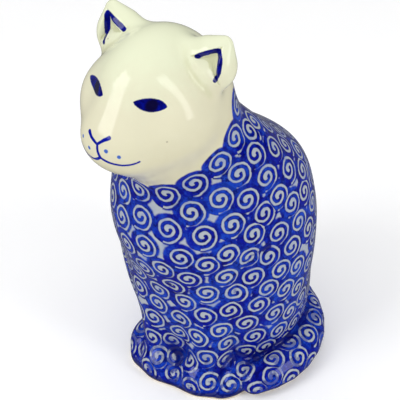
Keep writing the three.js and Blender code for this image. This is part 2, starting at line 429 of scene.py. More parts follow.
@dataclass
class Head:
    """The hollow head on its neck, with muzzle, cheeks, eye hollows and two hollowed ears."""

    centre: Triple = (0, -27.5, 131.6)
    nod: float = -11
    lean: float = 4
    skull: Triple = (20.8, 26.5, 27.4)
    muzzle: tuple = ((0, -19.6, -6.6), (13.4, 12, 10.4), 8)
    ridge: tuple = ((0, -13, 8), (0, -20, -5), 9, 6, 8)
    cheek: tuple = ((11.2, -6, 0.4), (12.4, 12.4, 12.4), 8)
    socket: tuple = ((12.6, -20.5, 6.5), 6.5, 0.9)
    ear_base: Triple = (17.7, 2.1, 18.9)
    ear_tip: Triple = (21.9, 2.3, 26.6)
    ear_radii: tuple = (9.4, 3.1)
    ear_flatness: float = 1.4
    ear_stretch: float = 1.25
    ear_gap: float = 2.0
    ear_blend: float = 5
    pocket: tuple = ((13.6, 22.4), (23.0, 27.6), (24.2, 14.0))
    pocket_depth: float = 3.2
    pocket_slope: tuple = (-0.2, 3.2)
    pocket_front: tuple = (-1.5, 1.5)
    neck: tuple = ((0, -17, 126), (0, -13, 102), 20, 21)
    neck_blend: float = 9
    jaw_blend: float = 10
    lute_point: Triple = (0, -28, 105)
    lute_rise: float = 22
    wall: float = 4.5
    ear_wall: float = 1.6
    seam: float = 0.05

    def __post_init__(self) -> None:
        """Works out the head's own axes once."""
        nod, lean = math.radians(self.nod), math.radians(self.lean)
        cos_x, sin_x, cos_y, sin_y = math.cos(nod), math.sin(nod), math.cos(lean), math.sin(lean)
        about_x = np.array([[1, 0, 0], [0, cos_x, -sin_x], [0, sin_x, cos_x]])
        about_y = np.array([[cos_y, 0, sin_y], [0, 1, 0], [-sin_y, 0, cos_y]])
        self.axes = about_x @ about_y

    def to_local(self, points: np.ndarray) -> np.ndarray:
        """Places in the head's own axes, from its centre."""
        return (points - np.array(self.centre)) @ self.axes

    def to_body(self, local: np.ndarray) -> np.ndarray:
        """Places in the body's frame, from the head's own axes."""
        return local @ self.axes.T + np.array(self.centre)

    def ear(self, left: np.ndarray) -> np.ndarray:
        """Distance to an ear without its hollow, in the head's axes on its left side."""
        squash = np.array([1, self.ear_flatness, 1])
        base, tip = np.array(self.ear_base) * squash, np.array(self.ear_tip) * squash
        return taper(left * squash, base, tip, *self.ear_radii) / self.ear_stretch

    def pocket_dent(self, left: np.ndarray) -> np.ndarray:
        """How deep the ear's front is hollowed at each place, in the head's axes on its left side."""
        inside = np.full(left.shape[:-1], np.inf)
        corners = [np.array(corner) for corner in self.pocket]
        for here, there in zip(corners, corners[1:] + corners[:1]):
            along = (there - here) / np.linalg.norm(there - here)
            gap = left[..., [0, 2]] - here
            inside = np.minimum(inside, gap[..., 1] * -along[0] + gap[..., 0] * along[1])
        front = smoothstep(-left[..., 1], *self.pocket_front)
        return self.pocket_depth * smoothstep(inside, *self.pocket_slope) * front

    def face(self, local: np.ndarray) -> np.ndarray:
        """Distance to the head without its ears, in its own axes."""
        left = mirrored(local)
        found = ellipsoid(local, (0, 0, 0), self.skull)
        found = soft_min(found, ellipsoid(local, *self.muzzle[:2]), self.muzzle[2])
        found = soft_min(found, rod(local, *self.ridge[:4]), self.ridge[4])
        found = soft_min(found, ellipsoid(left, *self.cheek[:2]), self.cheek[2])
        centre, reach, depth = self.socket
        gap = np.linalg.norm(left - np.array(centre), axis=-1) / reach
        return found + depth * np.exp(-gap * gap)

    def head(self, points: np.ndarray) -> np.ndarray:
        """Distance to the head with its hollowed ears."""
        local = self.to_local(points)
        left = mirrored(local)
        found = soft_min(self.face(local), self.ear(left), self.ear_blend)
        return found + self.pocket_dent(left)

    def throat(self, points: np.ndarray) -> np.ndarray:
        """Distance to the neck."""
        return rod(points, *self.neck)

    def lute_field(self, points: np.ndarray) -> np.ndarray:
        """Negative below the sloping plane where the head is luted to the body."""
        rise = math.radians(self.lute_rise)
        normal = np.array([0, -math.sin(rise), math.cos(rise)])
        return (points - np.array(self.lute_point)) @ normal

    def ear_field(self, points: np.ndarray, side: int) -> np.ndarray:
        """Negative where the skin belongs to one ear.

        Args:
            points: places, in mm.
            side: 1 for the cat's left, -1 for its right.

        Returns:
            The field that the skin is cut by.
        """
        local = self.to_local(points) * np.array([side, 1, 1])
        split = self.ear(local) - self.face(local)
        return np.maximum(split, self.ear_gap - local[..., 0])

    def divide(self, skin: "Skin") -> None:
        """Marks out the ears on the head's skin."""
        for side, zone in ((1, Zone.LEFT_EAR), (-1, Zone.RIGHT_EAR)):
            skin.divide(partial(self.ear_field, side=side), Zone.HEAD, zone)

    def build(self, shop: "Workshop") -> list[bpy.types.Object]:
        """Makes the head and its ears.

        Args:
            shop: the skin, the stamps and the finishes.

        Returns:
            The finished objects.
        """
        ears = {Zone.LEFT_EAR: "left_ear", Zone.RIGHT_EAR: "right_ear"}
        made = [shop.shell(name, Slot.CREAM, {zone: 0.0}, self.ear_wall) for zone, name in ears.items()]
        depths = {Zone.HEAD: 0.0} | {zone: self.ear_wall + self.seam for zone in ears}
        made.append(shop.shell("head_casting", Slot.CREAM, depths, self.wall))
        return made


@dataclass
class Base:
    """The floor of the casting, with its foot and the round hole it is poured and drained through."""

    foot: float = 0.9
    thickness: float = 4.8
    drain_centre: tuple = (0, 6)
    drain_radius: float = 11
    drain_top: float = 8.0
    ledge: float = 4.6
    rise: float = 0.8

    def divide(self, skin: "Skin") -> None:
        """Marks out the foot and the drain hole on the skin."""
        skin.divide(lambda p: p[..., 2] - self.foot, Zone.TORSO, Zone.BASE)
        skin.divide(self.drain_field, Zone.BASE, Zone.VOID)

    def drain_field(self, points: np.ndarray) -> np.ndarray:
        """Negative inside the drain hole, near the floor."""
        gap = np.hypot(points[..., 0] - self.drain_centre[0], points[..., 1] - self.drain_centre[1])
        return np.maximum(gap - self.drain_radius, points[..., 2] - self.drain_top)

    def upper(self, points: np.ndarray, cat: "Cat") -> np.ndarray:
        """The floor's upper face over each point of its underside.

        Args:
            points: places on the underside, in mm.
            cat: the whole form, which says how far inside the outline a place is.

        Returns:
            The matching places on the upper face.
        """
        top = points.copy()
        top[:, 2] = self.foot
        inset = -cat.distance(top)
        lift = np.clip((inset - self.ledge) / self.rise, 0, 1)
        top[:, 2] = self.foot + (self.thickness - self.foot) * lift
        return top

    def build(self, shop: "Workshop") -> bpy.types.Object:
        """Makes the floor plate.

        Args:
            shop: the skin, the stamps and the finishes.

        Returns:
            The finished object.
        """
        skin = shop.skin
        faces = skin.zone_faces(Zone.BASE)
        used, local = np.unique(faces, return_inverse=True)
        local = local.reshape(-1, 3)
        under = skin.points[used]
        upper = self.upper(under, shop.cat)
        edge = boundary(local)
        on_foot = under[edge[:, 0], 2] > self.foot - FLAT
        top = np.arange(len(used)) + len(used)
        rim = np.unique(edge[on_foot])
        top[rim] = rim
        strip = strips(edge[~on_foot], np.arange(len(used)), top)
        build = MeshBuild(np.concatenate([under, upper]))
        build.add(local, skin.data["normal"][used][local], Coat.CLAY)
        build.add(top[local][:, ::-1], None, Coat.CLAY)
        build.add(strip, None, Coat.CLAY)
        return shop.dress("base_plate", Slot.CLAY, build, used)


@dataclass
class Cat:
    """The whole outer form: body, neck and head run together as the glaze does."""

    torso: Torso = field(default_factory=Torso)
    head: Head = field(default_factory=Head)
    base: Base = field(default_factory=Base)
    low: Triple = (-44.0, -63.2, -1.6)
    high: Triple = (49.6, 52, 166)
    cell: float = 0.94

    def body(self, points: np.ndarray) -> np.ndarray:
        """Distance to the body with the neck on it."""
        return soft_min(self.head.throat(points), self.torso.distance(points), self.head.neck_blend)

    def distance(self, points: np.ndarray) -> np.ndarray:
        """Distance to the whole form."""
        return soft_min(self.head.head(points), self.body(points), self.head.jaw_blend)

    def slope(self, points: np.ndarray, step: float = 0.05) -> np.ndarray:
        """The distance's gradient, by differences of that step."""
        shifts = np.eye(3) * step
        pairs = [self.distance(points + s) - self.distance(points - s) for s in shifts]
        return np.stack(pairs, -1) / (2 * step)

    def settle(self, points: np.ndarray, rounds: int = 3) -> np.ndarray:
        """Points moved onto the form's surface.

        Args:
            points: places near the surface, in mm.
            rounds: how many steps are taken.

        Returns:
            The places on the surface.
        """
        for _ in range(rounds):
            slope = self.slope(points)
            steep = np.maximum((slope * slope).sum(-1), 0.1)
            points = points - slope * (self.distance(points) / steep)[..., None]
        return points

    def normals(self, points: np.ndarray) -> np.ndarray:
        """The outward direction at each place."""
        slope = self.slope(points)
        return slope / np.maximum(np.linalg.norm(slope, axis=-1, keepdims=True), TINY)


# ---------------------------------------------------------------- skin


def polygonise(distance: Field, low: Triple, high: Triple, cell: float) -> tuple[np.ndarray, np.ndarray]:
    """Turns a form into a mesh, one point to each grid cell that its surface passes through.

    Args:
        distance: the form, as a distance that is negative inside.
        low: lowest corner of the grid.
        high: highest corner of the grid.
        cell: the grid's pitch, in mm.

    Returns:
        The points and the triangles, facing outward.
    """
    start = np.array(low, float)
    counts = np.ceil((np.array(high) - start) / cell).astype(int) + 1
    axes = [start[i] + cell * np.arange(counts[i]) for i in range(3)]
    value = np.empty(counts)
    for i, x in enumerate(axes[0]):
        value[i] = distance(np.stack(np.meshgrid([x], axes[1], axes[2], indexing="ij"), -1)[0])
    span = np.array([counts[1] * counts[2], counts[2], 1])
    unit = np.eye(3, dtype=int)
    owners, spots = [], []
    for axis in range(3):
        here = value[tuple(slice(0, -1) if i == axis else slice(None) for i in range(3))]
        there = value[tuple(slice(1, None) if i == axis else slice(None) for i in range(3))]
        edge = np.argwhere((here < 0) != (there < 0))
        v0, v1 = here[tuple(edge.T)], there[tuple(edge.T)]
        spot = edge + unit[axis] * (v0 / (v0 - v1))[:, None]
        b, c = unit[(axis + 1) % 3], unit[(axis + 2) % 3]
        around = np.stack([edge, edge - b, edge - b - c, edge - c], 1) @ span
        around[v0 >= 0] = around[v0 >= 0][:, ::-1]
        owners.append(around)
        spots.append(np.repeat(spot[:, None], 4, axis=1))
    _, index = np.unique(np.concatenate(owners), return_inverse=True)
    index = index.reshape(-1, 4)
    where = np.concatenate(spots)
    flat = index.ravel()
    weight = np.bincount(flat)
    points = np.stack([np.bincount(flat, where[..., i].ravel()) / weight for i in range(3)], 1)
    points = start + cell * points
    first = np.linalg.norm(points[index[:, 0]] - points[index[:, 2]], axis=1)
    second = np.linalg.norm(points[index[:, 1]] - points[index[:, 3]], axis=1)
    turned = np.where((first <= second)[:, None], index, np.roll(index, -1, axis=1))
    return points, np.concatenate([turned[:, [0, 1, 2]], turned[:, [0, 2, 3]]])


def boundary(faces: np.ndarray) -> np.ndarray:
    """The directed edges of the triangles that have no partner running the other way."""
    edges = np.concatenate([faces[:, [0, 1]], faces[:, [1, 2]], faces[:, [2, 0]]])
    size = int(faces.max()) + 1
    keys, partners = edges[:, 0] * size + edges[:, 1], edges[:, 1] * size + edges[:, 0]
    return edges[~np.isin(keys, partners)]


def strips(edges: np.ndarray, outer: np.ndarray, inner: np.ndarray) -> np.ndarray:
    """Triangles that join an outer edge to the inner one below it.

    Args:
        edges: directed edges of the outer faces.
        outer: index of each point on the outer side.
        inner: index of each point on the inner side.

    Returns:
        The triangles.
    """
    a, b = edges.T
    upper = np.stack([outer[b], outer[a], inner[a]], 1)
    lower = np.stack([outer[b], inner[a], inner[b]], 1)
    return np.concatenate([upper, lower])


@dataclass
class Skin:
    """The outer surface as triangles, with what is known at each point and each face's zone."""

    points: np.ndarray
    faces: np.ndarray
    zones: np.ndarray
    data: dict = field(default_factory=dict)

    @classmethod
    def of(cls, cat: Cat) -> "Skin":
        """The skin of a form, settled onto its surface."""
        points, faces = polygonise(cat.distance, cat.low, cat.high, cat.cell)
        return cls(cat.settle(points), faces, np.full(len(faces), int(Zone.TORSO)))

    def zone_faces(self, zone: Zone) -> np.ndarray:
        """The triangles of one zone."""
        return self.faces[self.zones == zone]

    def _split(self, a: np.ndarray, b: np.ndarray, share: np.ndarray) -> np.ndarray:
        """Adds one point to each edge.

        Args:
            a: first point of each edge.
            b: second point of each edge.
            share: how far from a to b each new point lies.

        Returns:
            The new point of each edge, the same for an edge that is given twice.
        """
        size = len(self.points)
        swapped = a > b
        low, high = np.where(swapped, b, a), np.where(swapped, a, b)
        share = np.where(swapped, 1 - share, share)
        keys, first, index = np.unique(low * size + high, return_index=True, return_inverse=True)
        low, high, share = low[first], high[first], share[first][:, None]
        made = self.points[low] * (1 - share) + self.points[high] * share
        self.points = np.concatenate([self.points, made])
        for name, value in self.data.items():
            self.data[name] = np.concatenate([value, value[low] * (1 - share) + value[high] * share])
        return size + index.reshape(-1)

    def divide(self, cut: Field, scope: Zone, zone: Zone) -> None:
        """Cuts the triangles along the line where a field is zero, and gives one side a new zone.

        Args:
            cut: the field; its negative side gets the new zone.
            scope: the zone that is divided.
            zone: the new zone.
        """
        value = cut(self.points)
        above = value >= 0
        count = above[self.faces].sum(1)
        mixed = (count == 1) | (count == 2)
        split, label = self.faces[mixed], self.zones[mixed]
        alone_above = (count[mixed] == 1)[:, None]
        turn = ((above[split] == alone_above).argmax(1)[:, None] + np.arange(3)) % 3
        v0, v1, v2 = np.take_along_axis(split, turn, 1).T
        edges = np.concatenate([v0, v0]), np.concatenate([v1, v2])
        share = value[edges[0]] / (value[edges[0]] - value[edges[1]])
        m01, m02 = np.split(self._split(*edges, share), 2)
        tip = np.stack([v0, m01, m02], 1)
        rest = np.concatenate([np.stack([m01, v1, v2], 1), np.stack([m01, v2, m02], 1)])
        tip_below = ~alone_above[:, 0]
        below = np.concatenate([count[~mixed] == 0, tip_below, ~tip_below, ~tip_below])
        self.faces = np.concatenate([self.faces[~mixed], tip, rest])
        labels = np.concatenate([self.zones[~mixed], label, label, label])
        labels[below & (labels == scope)] = zone
        self.zones = labels

    def refine(self, chosen: np.ndarray, cat: Cat) -> None:
        """Halves every edge of the chosen faces, with matching cuts in their neighbours.

        Args:
            chosen: one flag to a face.
            cat: the form that the new points settle on.
        """
        size = len(self.points)
        ends = np.roll(self.faces, -1, axis=1)
        keys = np.minimum(self.faces, ends) * size + np.maximum(self.faces, ends)
        marked = np.isin(keys, keys[chosen])
        middle = np.full(self.faces.shape, -1)
        half = np.full(int(marked.sum()), 0.5)
        middle[marked] = self._split(self.faces[marked], ends[marked], half)
        self.points[size:] = cat.settle(self.points[size:], 2)
        count = marked.sum(1)
        made, labels = [self.faces[count == 0]], [self.zones[count == 0]]
        for many in (1, 2, 3):
            rows = count == many
            lead = marked[rows].argmax(1) if many == 1 else ((~marked[rows]).argmax(1) + 1) % 3
            turn = (lead[:, None] + np.arange(3)) % 3
            v0, v1, v2 = np.take_along_axis(self.faces[rows], turn, 1).T
            m0, m1, m2 = np.take_along_axis(middle[rows], turn, 1).T
            parts = {
                1: [(v0, m0, v2), (m0, v1, v2)],
                2: [(m0, v1, m1), (v0, m0, m1), (v0, m1, v2)],
                3: [(v0, m0, m2), (m0, v1, m1), (m2, m1, v2), (m0, m1, m2)],
            }[many]
            made += [np.stack(part, 1) for part in parts]
            labels += [self.zones[rows]] * len(parts)
        self.faces = np.concatenate(made)
        self.zones = np.concatenate(labels)

    def edges(self) -> np.ndarray:
        """Every edge once, as pairs of points."""
        pairs = np.concatenate([self.faces[:, [0, 1]], self.faces[:, [1, 2]], self.faces[:, [2, 0]]])
        return np.unique(np.sort(pairs, 1), axis=0)

    def spread(self, values: np.ndarray, rounds: int) -> np.ndarray:
        """Values averaged with those of the neighbouring points, several times over.

        Args:
            values: one number to a point.
            rounds: how many times.

        Returns:
            The smoothed values.
        """
        a, b = self.edges().T
        size = len(self.points)
        count = np.bincount(a, minlength=size) + np.bincount(b, minlength=size)
        for _ in range(rounds):
            total = np.bincount(a, values[b], size) + np.bincount(b, values[a], size)
            values = 0.5 * values + 0.5 * total / np.maximum(count, 1)
        return values

    # The glazes use this to pool colour and paint shade into the creases.
    def hollowness(self) -> np.ndarray:
        """How hollow the skin is at each point, in 1/mm: positive in a crease, negative on a ridge."""
        normal = self.data["normal"]
        a, b = self.edges().T
        across = self.points[b] - self.points[a]
        bend = ((normal[a] - normal[b]) * across).sum(1) / np.maximum((across * across).sum(1), 0.04)
        size = len(self.points)
        total = np.bincount(a, bend, size) + np.bincount(b, bend, size)
        count = np.bincount(a, minlength=size) + np.bincount(b, minlength=size)
        return self.spread(total / np.maximum(count, 1), 6)


# ---------------------------------------------------------------- painting


@dataclass(frozen=True)
class Stroke:
    """A brush line on the head: its places seen from the front of the head, and the brush."""

    places: tuple
    widths: tuple
    load: float


@dataclass(frozen=True)
class Eye:
    """A painted eye: its two corners, and how far its lids rise and fall at their fullest."""

    inner: tuple
    outer: tuple
    upper: float
    lower: float
    fullest: float
    pupil: float


@dataclass
class BrushWork:
    """The lines, dots and eyes painted on the head by hand."""

    nose_left: Stroke = Stroke(((2.6, -1.6), (0.6, -3.1), (-1.1, -4.7)), (0.72, 0.5, 0.45), 0.62)
    nose_right: Stroke = Stroke(((-5.5, -2.2), (-4.6, -3.2), (-1.1, -4.9)), (0.72, 0.62, 0.45), 0.68)
    lip: Stroke = Stroke(((-1.1, -4.7), (-0.9, -7.0), (0.2, -9.2)), (0.45, 0.5, 0.6), 0.66)
    mouth_left: Stroke = Stroke(
        ((0.2, -9.2), (1.8, -9.9), (4.1, -10.4), (7.6, -10.5), (10.2, -9.7), (11.7, -8.7)),
        (0.55, 0.5, 0.5, 0.42, 0.4, 0.36),
        0.6,
    )
    mouth_right: Stroke = Stroke(
        ((0.2, -9.2), (-1.6, -10.7), (-3.4, -11.3), (-5.8, -11.1), (-8.2, -10.2), (-10, -8.6)),
        (0.55, 0.5, 0.46, 0.42, 0.4, 0.4),
        0.58,
    )
    dots: tuple = (((-4.6, -7.5), 0.66), ((2.4, -6.1), 0.72), ((6.6, -7.2), 0.66), ((-8.6, -5.4), 0.6))
    dot_load: float = 0.3
    ear_left: Stroke = Stroke(
        ((15.4, 22.3), (18.2, 23.9), (21.6, 25.6), (23.4, 22.4), (23.6, 19.2), (22.7, 15.9)),
        (0.9, 1.05, 1.0, 1.1, 1.05, 0.7),
        0.82,
    )
    ear_right: Stroke = Stroke(
        ((-20.3, 16.8), (-21.3, 20.5), (-22.3, 25.8), (-20.4, 25.8), (-17.8, 25.1), (-12.9, 23.3)),
        (0.8, 1.1, 1.1, 0.95, 1.0, 0.85),
        0.8,
    )
    eyes: tuple = (
        Eye((6.1, 9.9), (14.9, 8.9), 2.0, 2.3, 0.56, 1.55),
        Eye((-5.0, 8.9), (-16.8, 9.2), 2.2, 2.0, 0.42, 1.6),
    )
    eye_load: float = 0.82
    plain_load: float = 0.6
    fine_reaches: tuple = (1.6, 0.9)
    far: float = 9.0
    face_front: float = -4.0
    painted_back: float = 4.0
    painted_low: tuple = (-22.0, 100.0)
    lid_bluntness: float = 0.72
    lid_slope: float = 0.8
    pupil_drop: float = 0.15
    landing: tuple = (-45.0, 60, 0.7)

    def strokes(self) -> list[Stroke]:
        """Every brush line."""
        lines = [self.nose_left, self.nose_right, self.lip, self.mouth_left, self.mouth_right]
        return [*lines, self.ear_left, self.ear_right]

    def landed(self, places: np.ndarray, cat: Cat) -> np.ndarray:
        """Where marks seen from the front of the head lie on its skin.

        Args:
            places: (x, z) pairs in the head's axes.
            cat: the form.

        Returns:
            Points on the skin, in the body's frame.
        """
        start, steps, stride = self.landing
        local = np.stack([places[:, 0], np.full(len(places), start), places[:, 1]], 1)
        for _ in range(steps):
            local[:, 1] += stride * cat.distance(cat.head.to_body(local))
        return cat.head.to_body(local)

    @staticmethod
    def finer(places: tuple, widths: tuple, step: float = 0.8) -> tuple[np.ndarray, np.ndarray]:
        """A line's places closer together, rounded at its bends.

        Args:
            places: (x, z) pairs.
            widths: half widths at the places.
            step: pitch of the new places, in mm.

        Returns:
            The new places and their half widths.
        """
        spots = np.array(places, float)
        run = run_length(spots)
        at = np.linspace(0, run[-1], max(3, int(run[-1] / step) + 1))
        line = np.stack([np.interp(at, run, spots[:, i]) for i in (0, 1)], 1)
        soft = line.copy()
        soft[1:-1] = 0.25 * line[:-2] + 0.5 * line[1:-1] + 0.25 * line[2:]
        return soft, np.interp(at, run, widths)

    def eye_distance(self, local: np.ndarray, eye: Eye) -> tuple[np.ndarray, np.ndarray]:
        """How far each place is outside an eye's outline, and from its pupil.

        Args:
            local: places in the head's axes.
            eye: the eye.

        Returns:
            Distance to the outline, negative inside, and distance to the pupil's centre.
        """
        inner, outer = np.array(eye.inner), np.array(eye.outer)
        along = outer - inner
        length = np.linalg.norm(along)
        unit = along / length
        up = np.array([-unit[1], unit[0]]) * (1.0 if unit[0] > 0 else -1.0)
        flat = local[..., [0, 2]] - inner
        share = (flat @ unit) / length
        height = flat @ up
        near_side = share / eye.fullest * 0.5
        far_side = 0.5 + (share - eye.fullest) / (1 - eye.fullest) * 0.5
        skew = np.where(share < eye.fullest, near_side, far_side)
        lens = np.sin(np.pi * np.clip(skew, 0, 1)) ** self.lid_bluntness
        lid = np.where(height > 0, eye.upper, eye.lower) * lens
        outline = (np.abs(height) - lid) * self.lid_slope
        beyond = np.maximum(np.maximum(-share, share - 1), 0) * length
        centre = inner + along * eye.fullest
        rise = (local[..., 2] - centre[1] + self.pupil_drop) * self.lid_slope
        pupil = np.hypot(local[..., 0] - centre[0], rise)
        return np.hypot(np.maximum(outline, 0), beyond) + np.minimum(outline, 0), pupil - eye.pupil

    def marks(self, points: np.ndarray, cat: Cat) -> np.ndarray:
        """What the brush left at each place.

        Args:
            points: places in the body's frame.
            cat: the form.

        Returns:
            For each place: distance to the nearest paint, how loaded that brush was, and distance to a pupil.
        """
        found = np.full((len(points), 3), self.far)
        found[:, 1] = self.plain_load
        local = cat.head.to_local(points)
        chin, neck = self.painted_low
        ahead = (local[:, 1] < self.painted_back) & (local[:, 2] > chin)
        rows = np.flatnonzero(ahead & (points[:, 2] > neck))
        near, flat = points[rows], local[rows]
        best = np.full(len(rows), self.far)
        load = np.full(len(rows), self.plain_load)
        pupil = np.full(len(rows), self.far)

        def lay(gap: np.ndarray, strength: float) -> None:
            """Keeps the nearest paint and its load."""
            load[gap < best] = strength
            np.minimum(best, gap, out=best)

        for stroke in self.strokes():
            line, widths = self.finer(stroke.places, stroke.widths)
            spots = self.landed(line, cat)
            for i in range(len(spots) - 1):
                lay(rod(near, spots[i], spots[i + 1], widths[i], widths[i + 1]), stroke.load)
        for place, radius in self.dots:
            spot = self.landed(np.array([place]), cat)[0]
            lay(np.linalg.norm(near - spot, axis=-1) - radius, self.dot_load)
        front = flat[:, 1] < self.face_front
        for eye in self.eyes:
            outline, middle = self.eye_distance(flat, eye)
            lay(np.where(front, outline, self.far), self.eye_load)
            np.minimum(pupil, np.where(front, middle, self.far), out=pupil)
        found[rows] = np.stack([best, load, pupil], 1)
        return found


@dataclass
class SpongeStamps:
    """The spiral stamps printed all over the body, starting with one row along the neck."""

    pitch: float = 11.1
    first_row: float = 5.4
    first_count: int = 14
    turn: float = 14.0
    rounds: int = 14
    seed: int = 5
    facing: float = 0.55
    candidates: int = 16000
    lowest_face: float = 1.0
    lowest_centre: float = 2.5
    row_parts: int = 120
    row_start: float = 0.35
    row_slack: float = 0.7
    grow_limit: float = 3.0
    centres: np.ndarray = None
    right: np.ndarray = None
    up: np.ndarray = None
    out: np.ndarray = None
    tone: np.ndarray = None

    def place(self, skin: Skin, cat: Cat) -> None:
        """Chooses the stamps' places: a row along the neck, and the rest evenly over the body.

        Args:
            skin: the skin, with its normals and its distance below the neckline.
            cat: the form.
        """
        rng = np.random.default_rng(self.seed)
        below = skin.data["site"][:, 0]
        a, b, c = (skin.points[skin.faces[:, i]] for i in range(3))
        twice_area = np.linalg.norm(np.cross(b - a, c - a), axis=1)
        body = (below[skin.faces].min(1) > 0) & (skin.points[skin.faces, 2].min(1) > self.lowest_face)
        count = int(0.5 * twice_area[body].sum() / (CLOSE_PACKED * self.pitch**2))
        pool = np.flatnonzero((below > self.first_row) & (skin.points[:, 2] > self.lowest_centre))
        pool = rng.choice(pool, min(len(pool), self.candidates), replace=False)
        row = self._neck_row(skin)
        chosen = list(skin.points[row])
        normals = list(skin.data["normal"][row])
        spots, facing = skin.points[pool], skin.data["normal"][pool]
        gap = np.full(len(pool), np.inf)
        for centre, out in zip(chosen, normals, strict=True):
            gap = np.minimum(gap, self._apart(spots, facing, centre, out))
        while len(chosen) < count:
            pick = int(gap.argmax())
            chosen.append(spots[pick])
            normals.append(facing[pick])
            gap = np.minimum(gap, self._apart(spots, facing, spots[pick], facing[pick]))
        centres, out = np.array(chosen), np.array(normals)
        fixed = len(row)
        for _ in range(self.rounds):
            owner = np.argmin(self._all_apart(spots, facing, centres, out), axis=1)
            many = np.maximum(np.bincount(owner, minlength=count), 1)
            mean = np.stack([np.bincount(owner, spots[:, i], count) / many for i in range(3)], 1)
            centres[fixed:] = cat.settle(mean[fixed:], 3)
            out[fixed:] = cat.normals(centres[fixed:])
        self._aim(centres, out, rng)
        LOG.info("stamps: %d, of which %d along the neck", len(centres), fixed)

    def _neck_row(self, skin: Skin) -> np.ndarray:
        """The points of the skin that the first row of stamps is printed at."""
        below = skin.data["site"][:, 0]
        ring = np.flatnonzero(np.abs(below - self.first_row) < self.row_slack)
        spots = skin.points[ring]
        middle = spots.mean(0)
        angle = np.arctan2(spots[:, 0] - middle[0], spots[:, 1] - middle[1])
        order = np.argsort(angle)
        bins = np.linspace(-math.pi, math.pi, self.row_parts + 1)
        which = np.digitize(angle[order], bins) - 1
        parts = (spots[order][which == k] for k in range(self.row_parts))
        track = np.array([part.mean(0) for part in parts if len(part)])
        run = run_length(track)
        wanted = (np.arange(self.first_count) + self.row_start) / self.first_count * run[-1]
        line = np.stack([np.interp(wanted, run, track[:, i]) for i in range(3)], 1)
        return np.array([ring[np.argmin(((spots - p) ** 2).sum(1))] for p in line])

    def _apart(
        self, spots: np.ndarray, facing: np.ndarray, centre: np.ndarray, out: np.ndarray
    ) -> np.ndarray:
        """How far apart places and one stamp are, counted longer where the skin turns away."""
        turned = 1.0 + self.facing * (1.0 - facing @ out)
        return np.linalg.norm(spots - centre, axis=1) * turned

    def _all_apart(
        self, spots: np.ndarray, facing: np.ndarray, centres: np.ndarray, out: np.ndarray
    ) -> np.ndarray:
        """How far apart every place and every stamp are, as _apart counts it."""
        turned = 1.0 + self.facing * (1.0 - facing @ out.T)
        return np.sqrt(np.maximum(square_gaps(spots, centres), 0)) * turned

    def _aim(self, centres: np.ndarray, out: np.ndarray, rng: np.random.Generator) -> None:
        """Turns each stamp upright, give or take the hand that prints it."""
        right = np.stack([-out[:, 1], out[:, 0], np.zeros(len(out))], 1) + np.array([0.06, 0.06, 0])
        right /= np.linalg.norm(right, axis=1, keepdims=True)
        up = np.cross(out, right)
        up /= np.linalg.norm(up, axis=1, keepdims=True)
        right = np.cross(up, out)
        turn = np.radians(rng.uniform(-self.turn, self.turn, len(out)))[:, None]
        self.centres, self.out = centres, out
        self.right = right * np.cos(turn) + up * np.sin(turn)
        self.up = up * np.cos(turn) - right * np.sin(turn)
        self.tone = rng.uniform(0, 1, len(out))

    def printed(self, corners: np.ndarray, normals: np.ndarray) -> np.ndarray:
        """Where the corners of each face lie on its three nearest stamps.

        Args:
            corners: the faces' corners, (n, 3, 3), in mm.
            normals: the faces' outward directions, (n, 3).

        Returns:
            (3 stamps, n, 3 corners, 3): across, up and the stamp's own tone.
        """
        found = np.empty((3, len(corners), 3, 3), np.float32)
        for start in range(0, len(corners), BATCH):
            part = slice(start, start + BATCH)
            spots = corners[part]
            apart = self._all_apart(spots.mean(1), normals[part], self.centres, self.out)
            nearest = np.argpartition(apart, 3, axis=1)[:, :3]
            for k in range(3):
                stamp = nearest[:, k]
                gap = spots - self.centres[stamp][:, None]
                across = (gap * self.right[stamp][:, None]).sum(-1)
                up = (gap * self.up[stamp][:, None]).sum(-1)
                flat = np.maximum(np.hypot(across, up), 1e-6)
                grow = np.minimum(np.linalg.norm(gap, axis=-1) / flat, self.grow_limit)
                tone = np.repeat(self.tone[stamp][:, None], 3, 1)
                found[k, part] = np.stack([across * grow, up * grow, tone], -1)
        return found


# ---------------------------------------------------------------- finishes


def linear(red: float, green: float, blue: float) -> tuple[float, float, float, float]:
    """A colour given as 0 to 255, in the shader's linear values."""
    shares = [part / 255 for part in (red, green, blue)]
    return (*(c / 12.92 if c <= 0.04045 else ((c + 0.055) / 1.055) ** 2.4 for c in shares), 1.0)


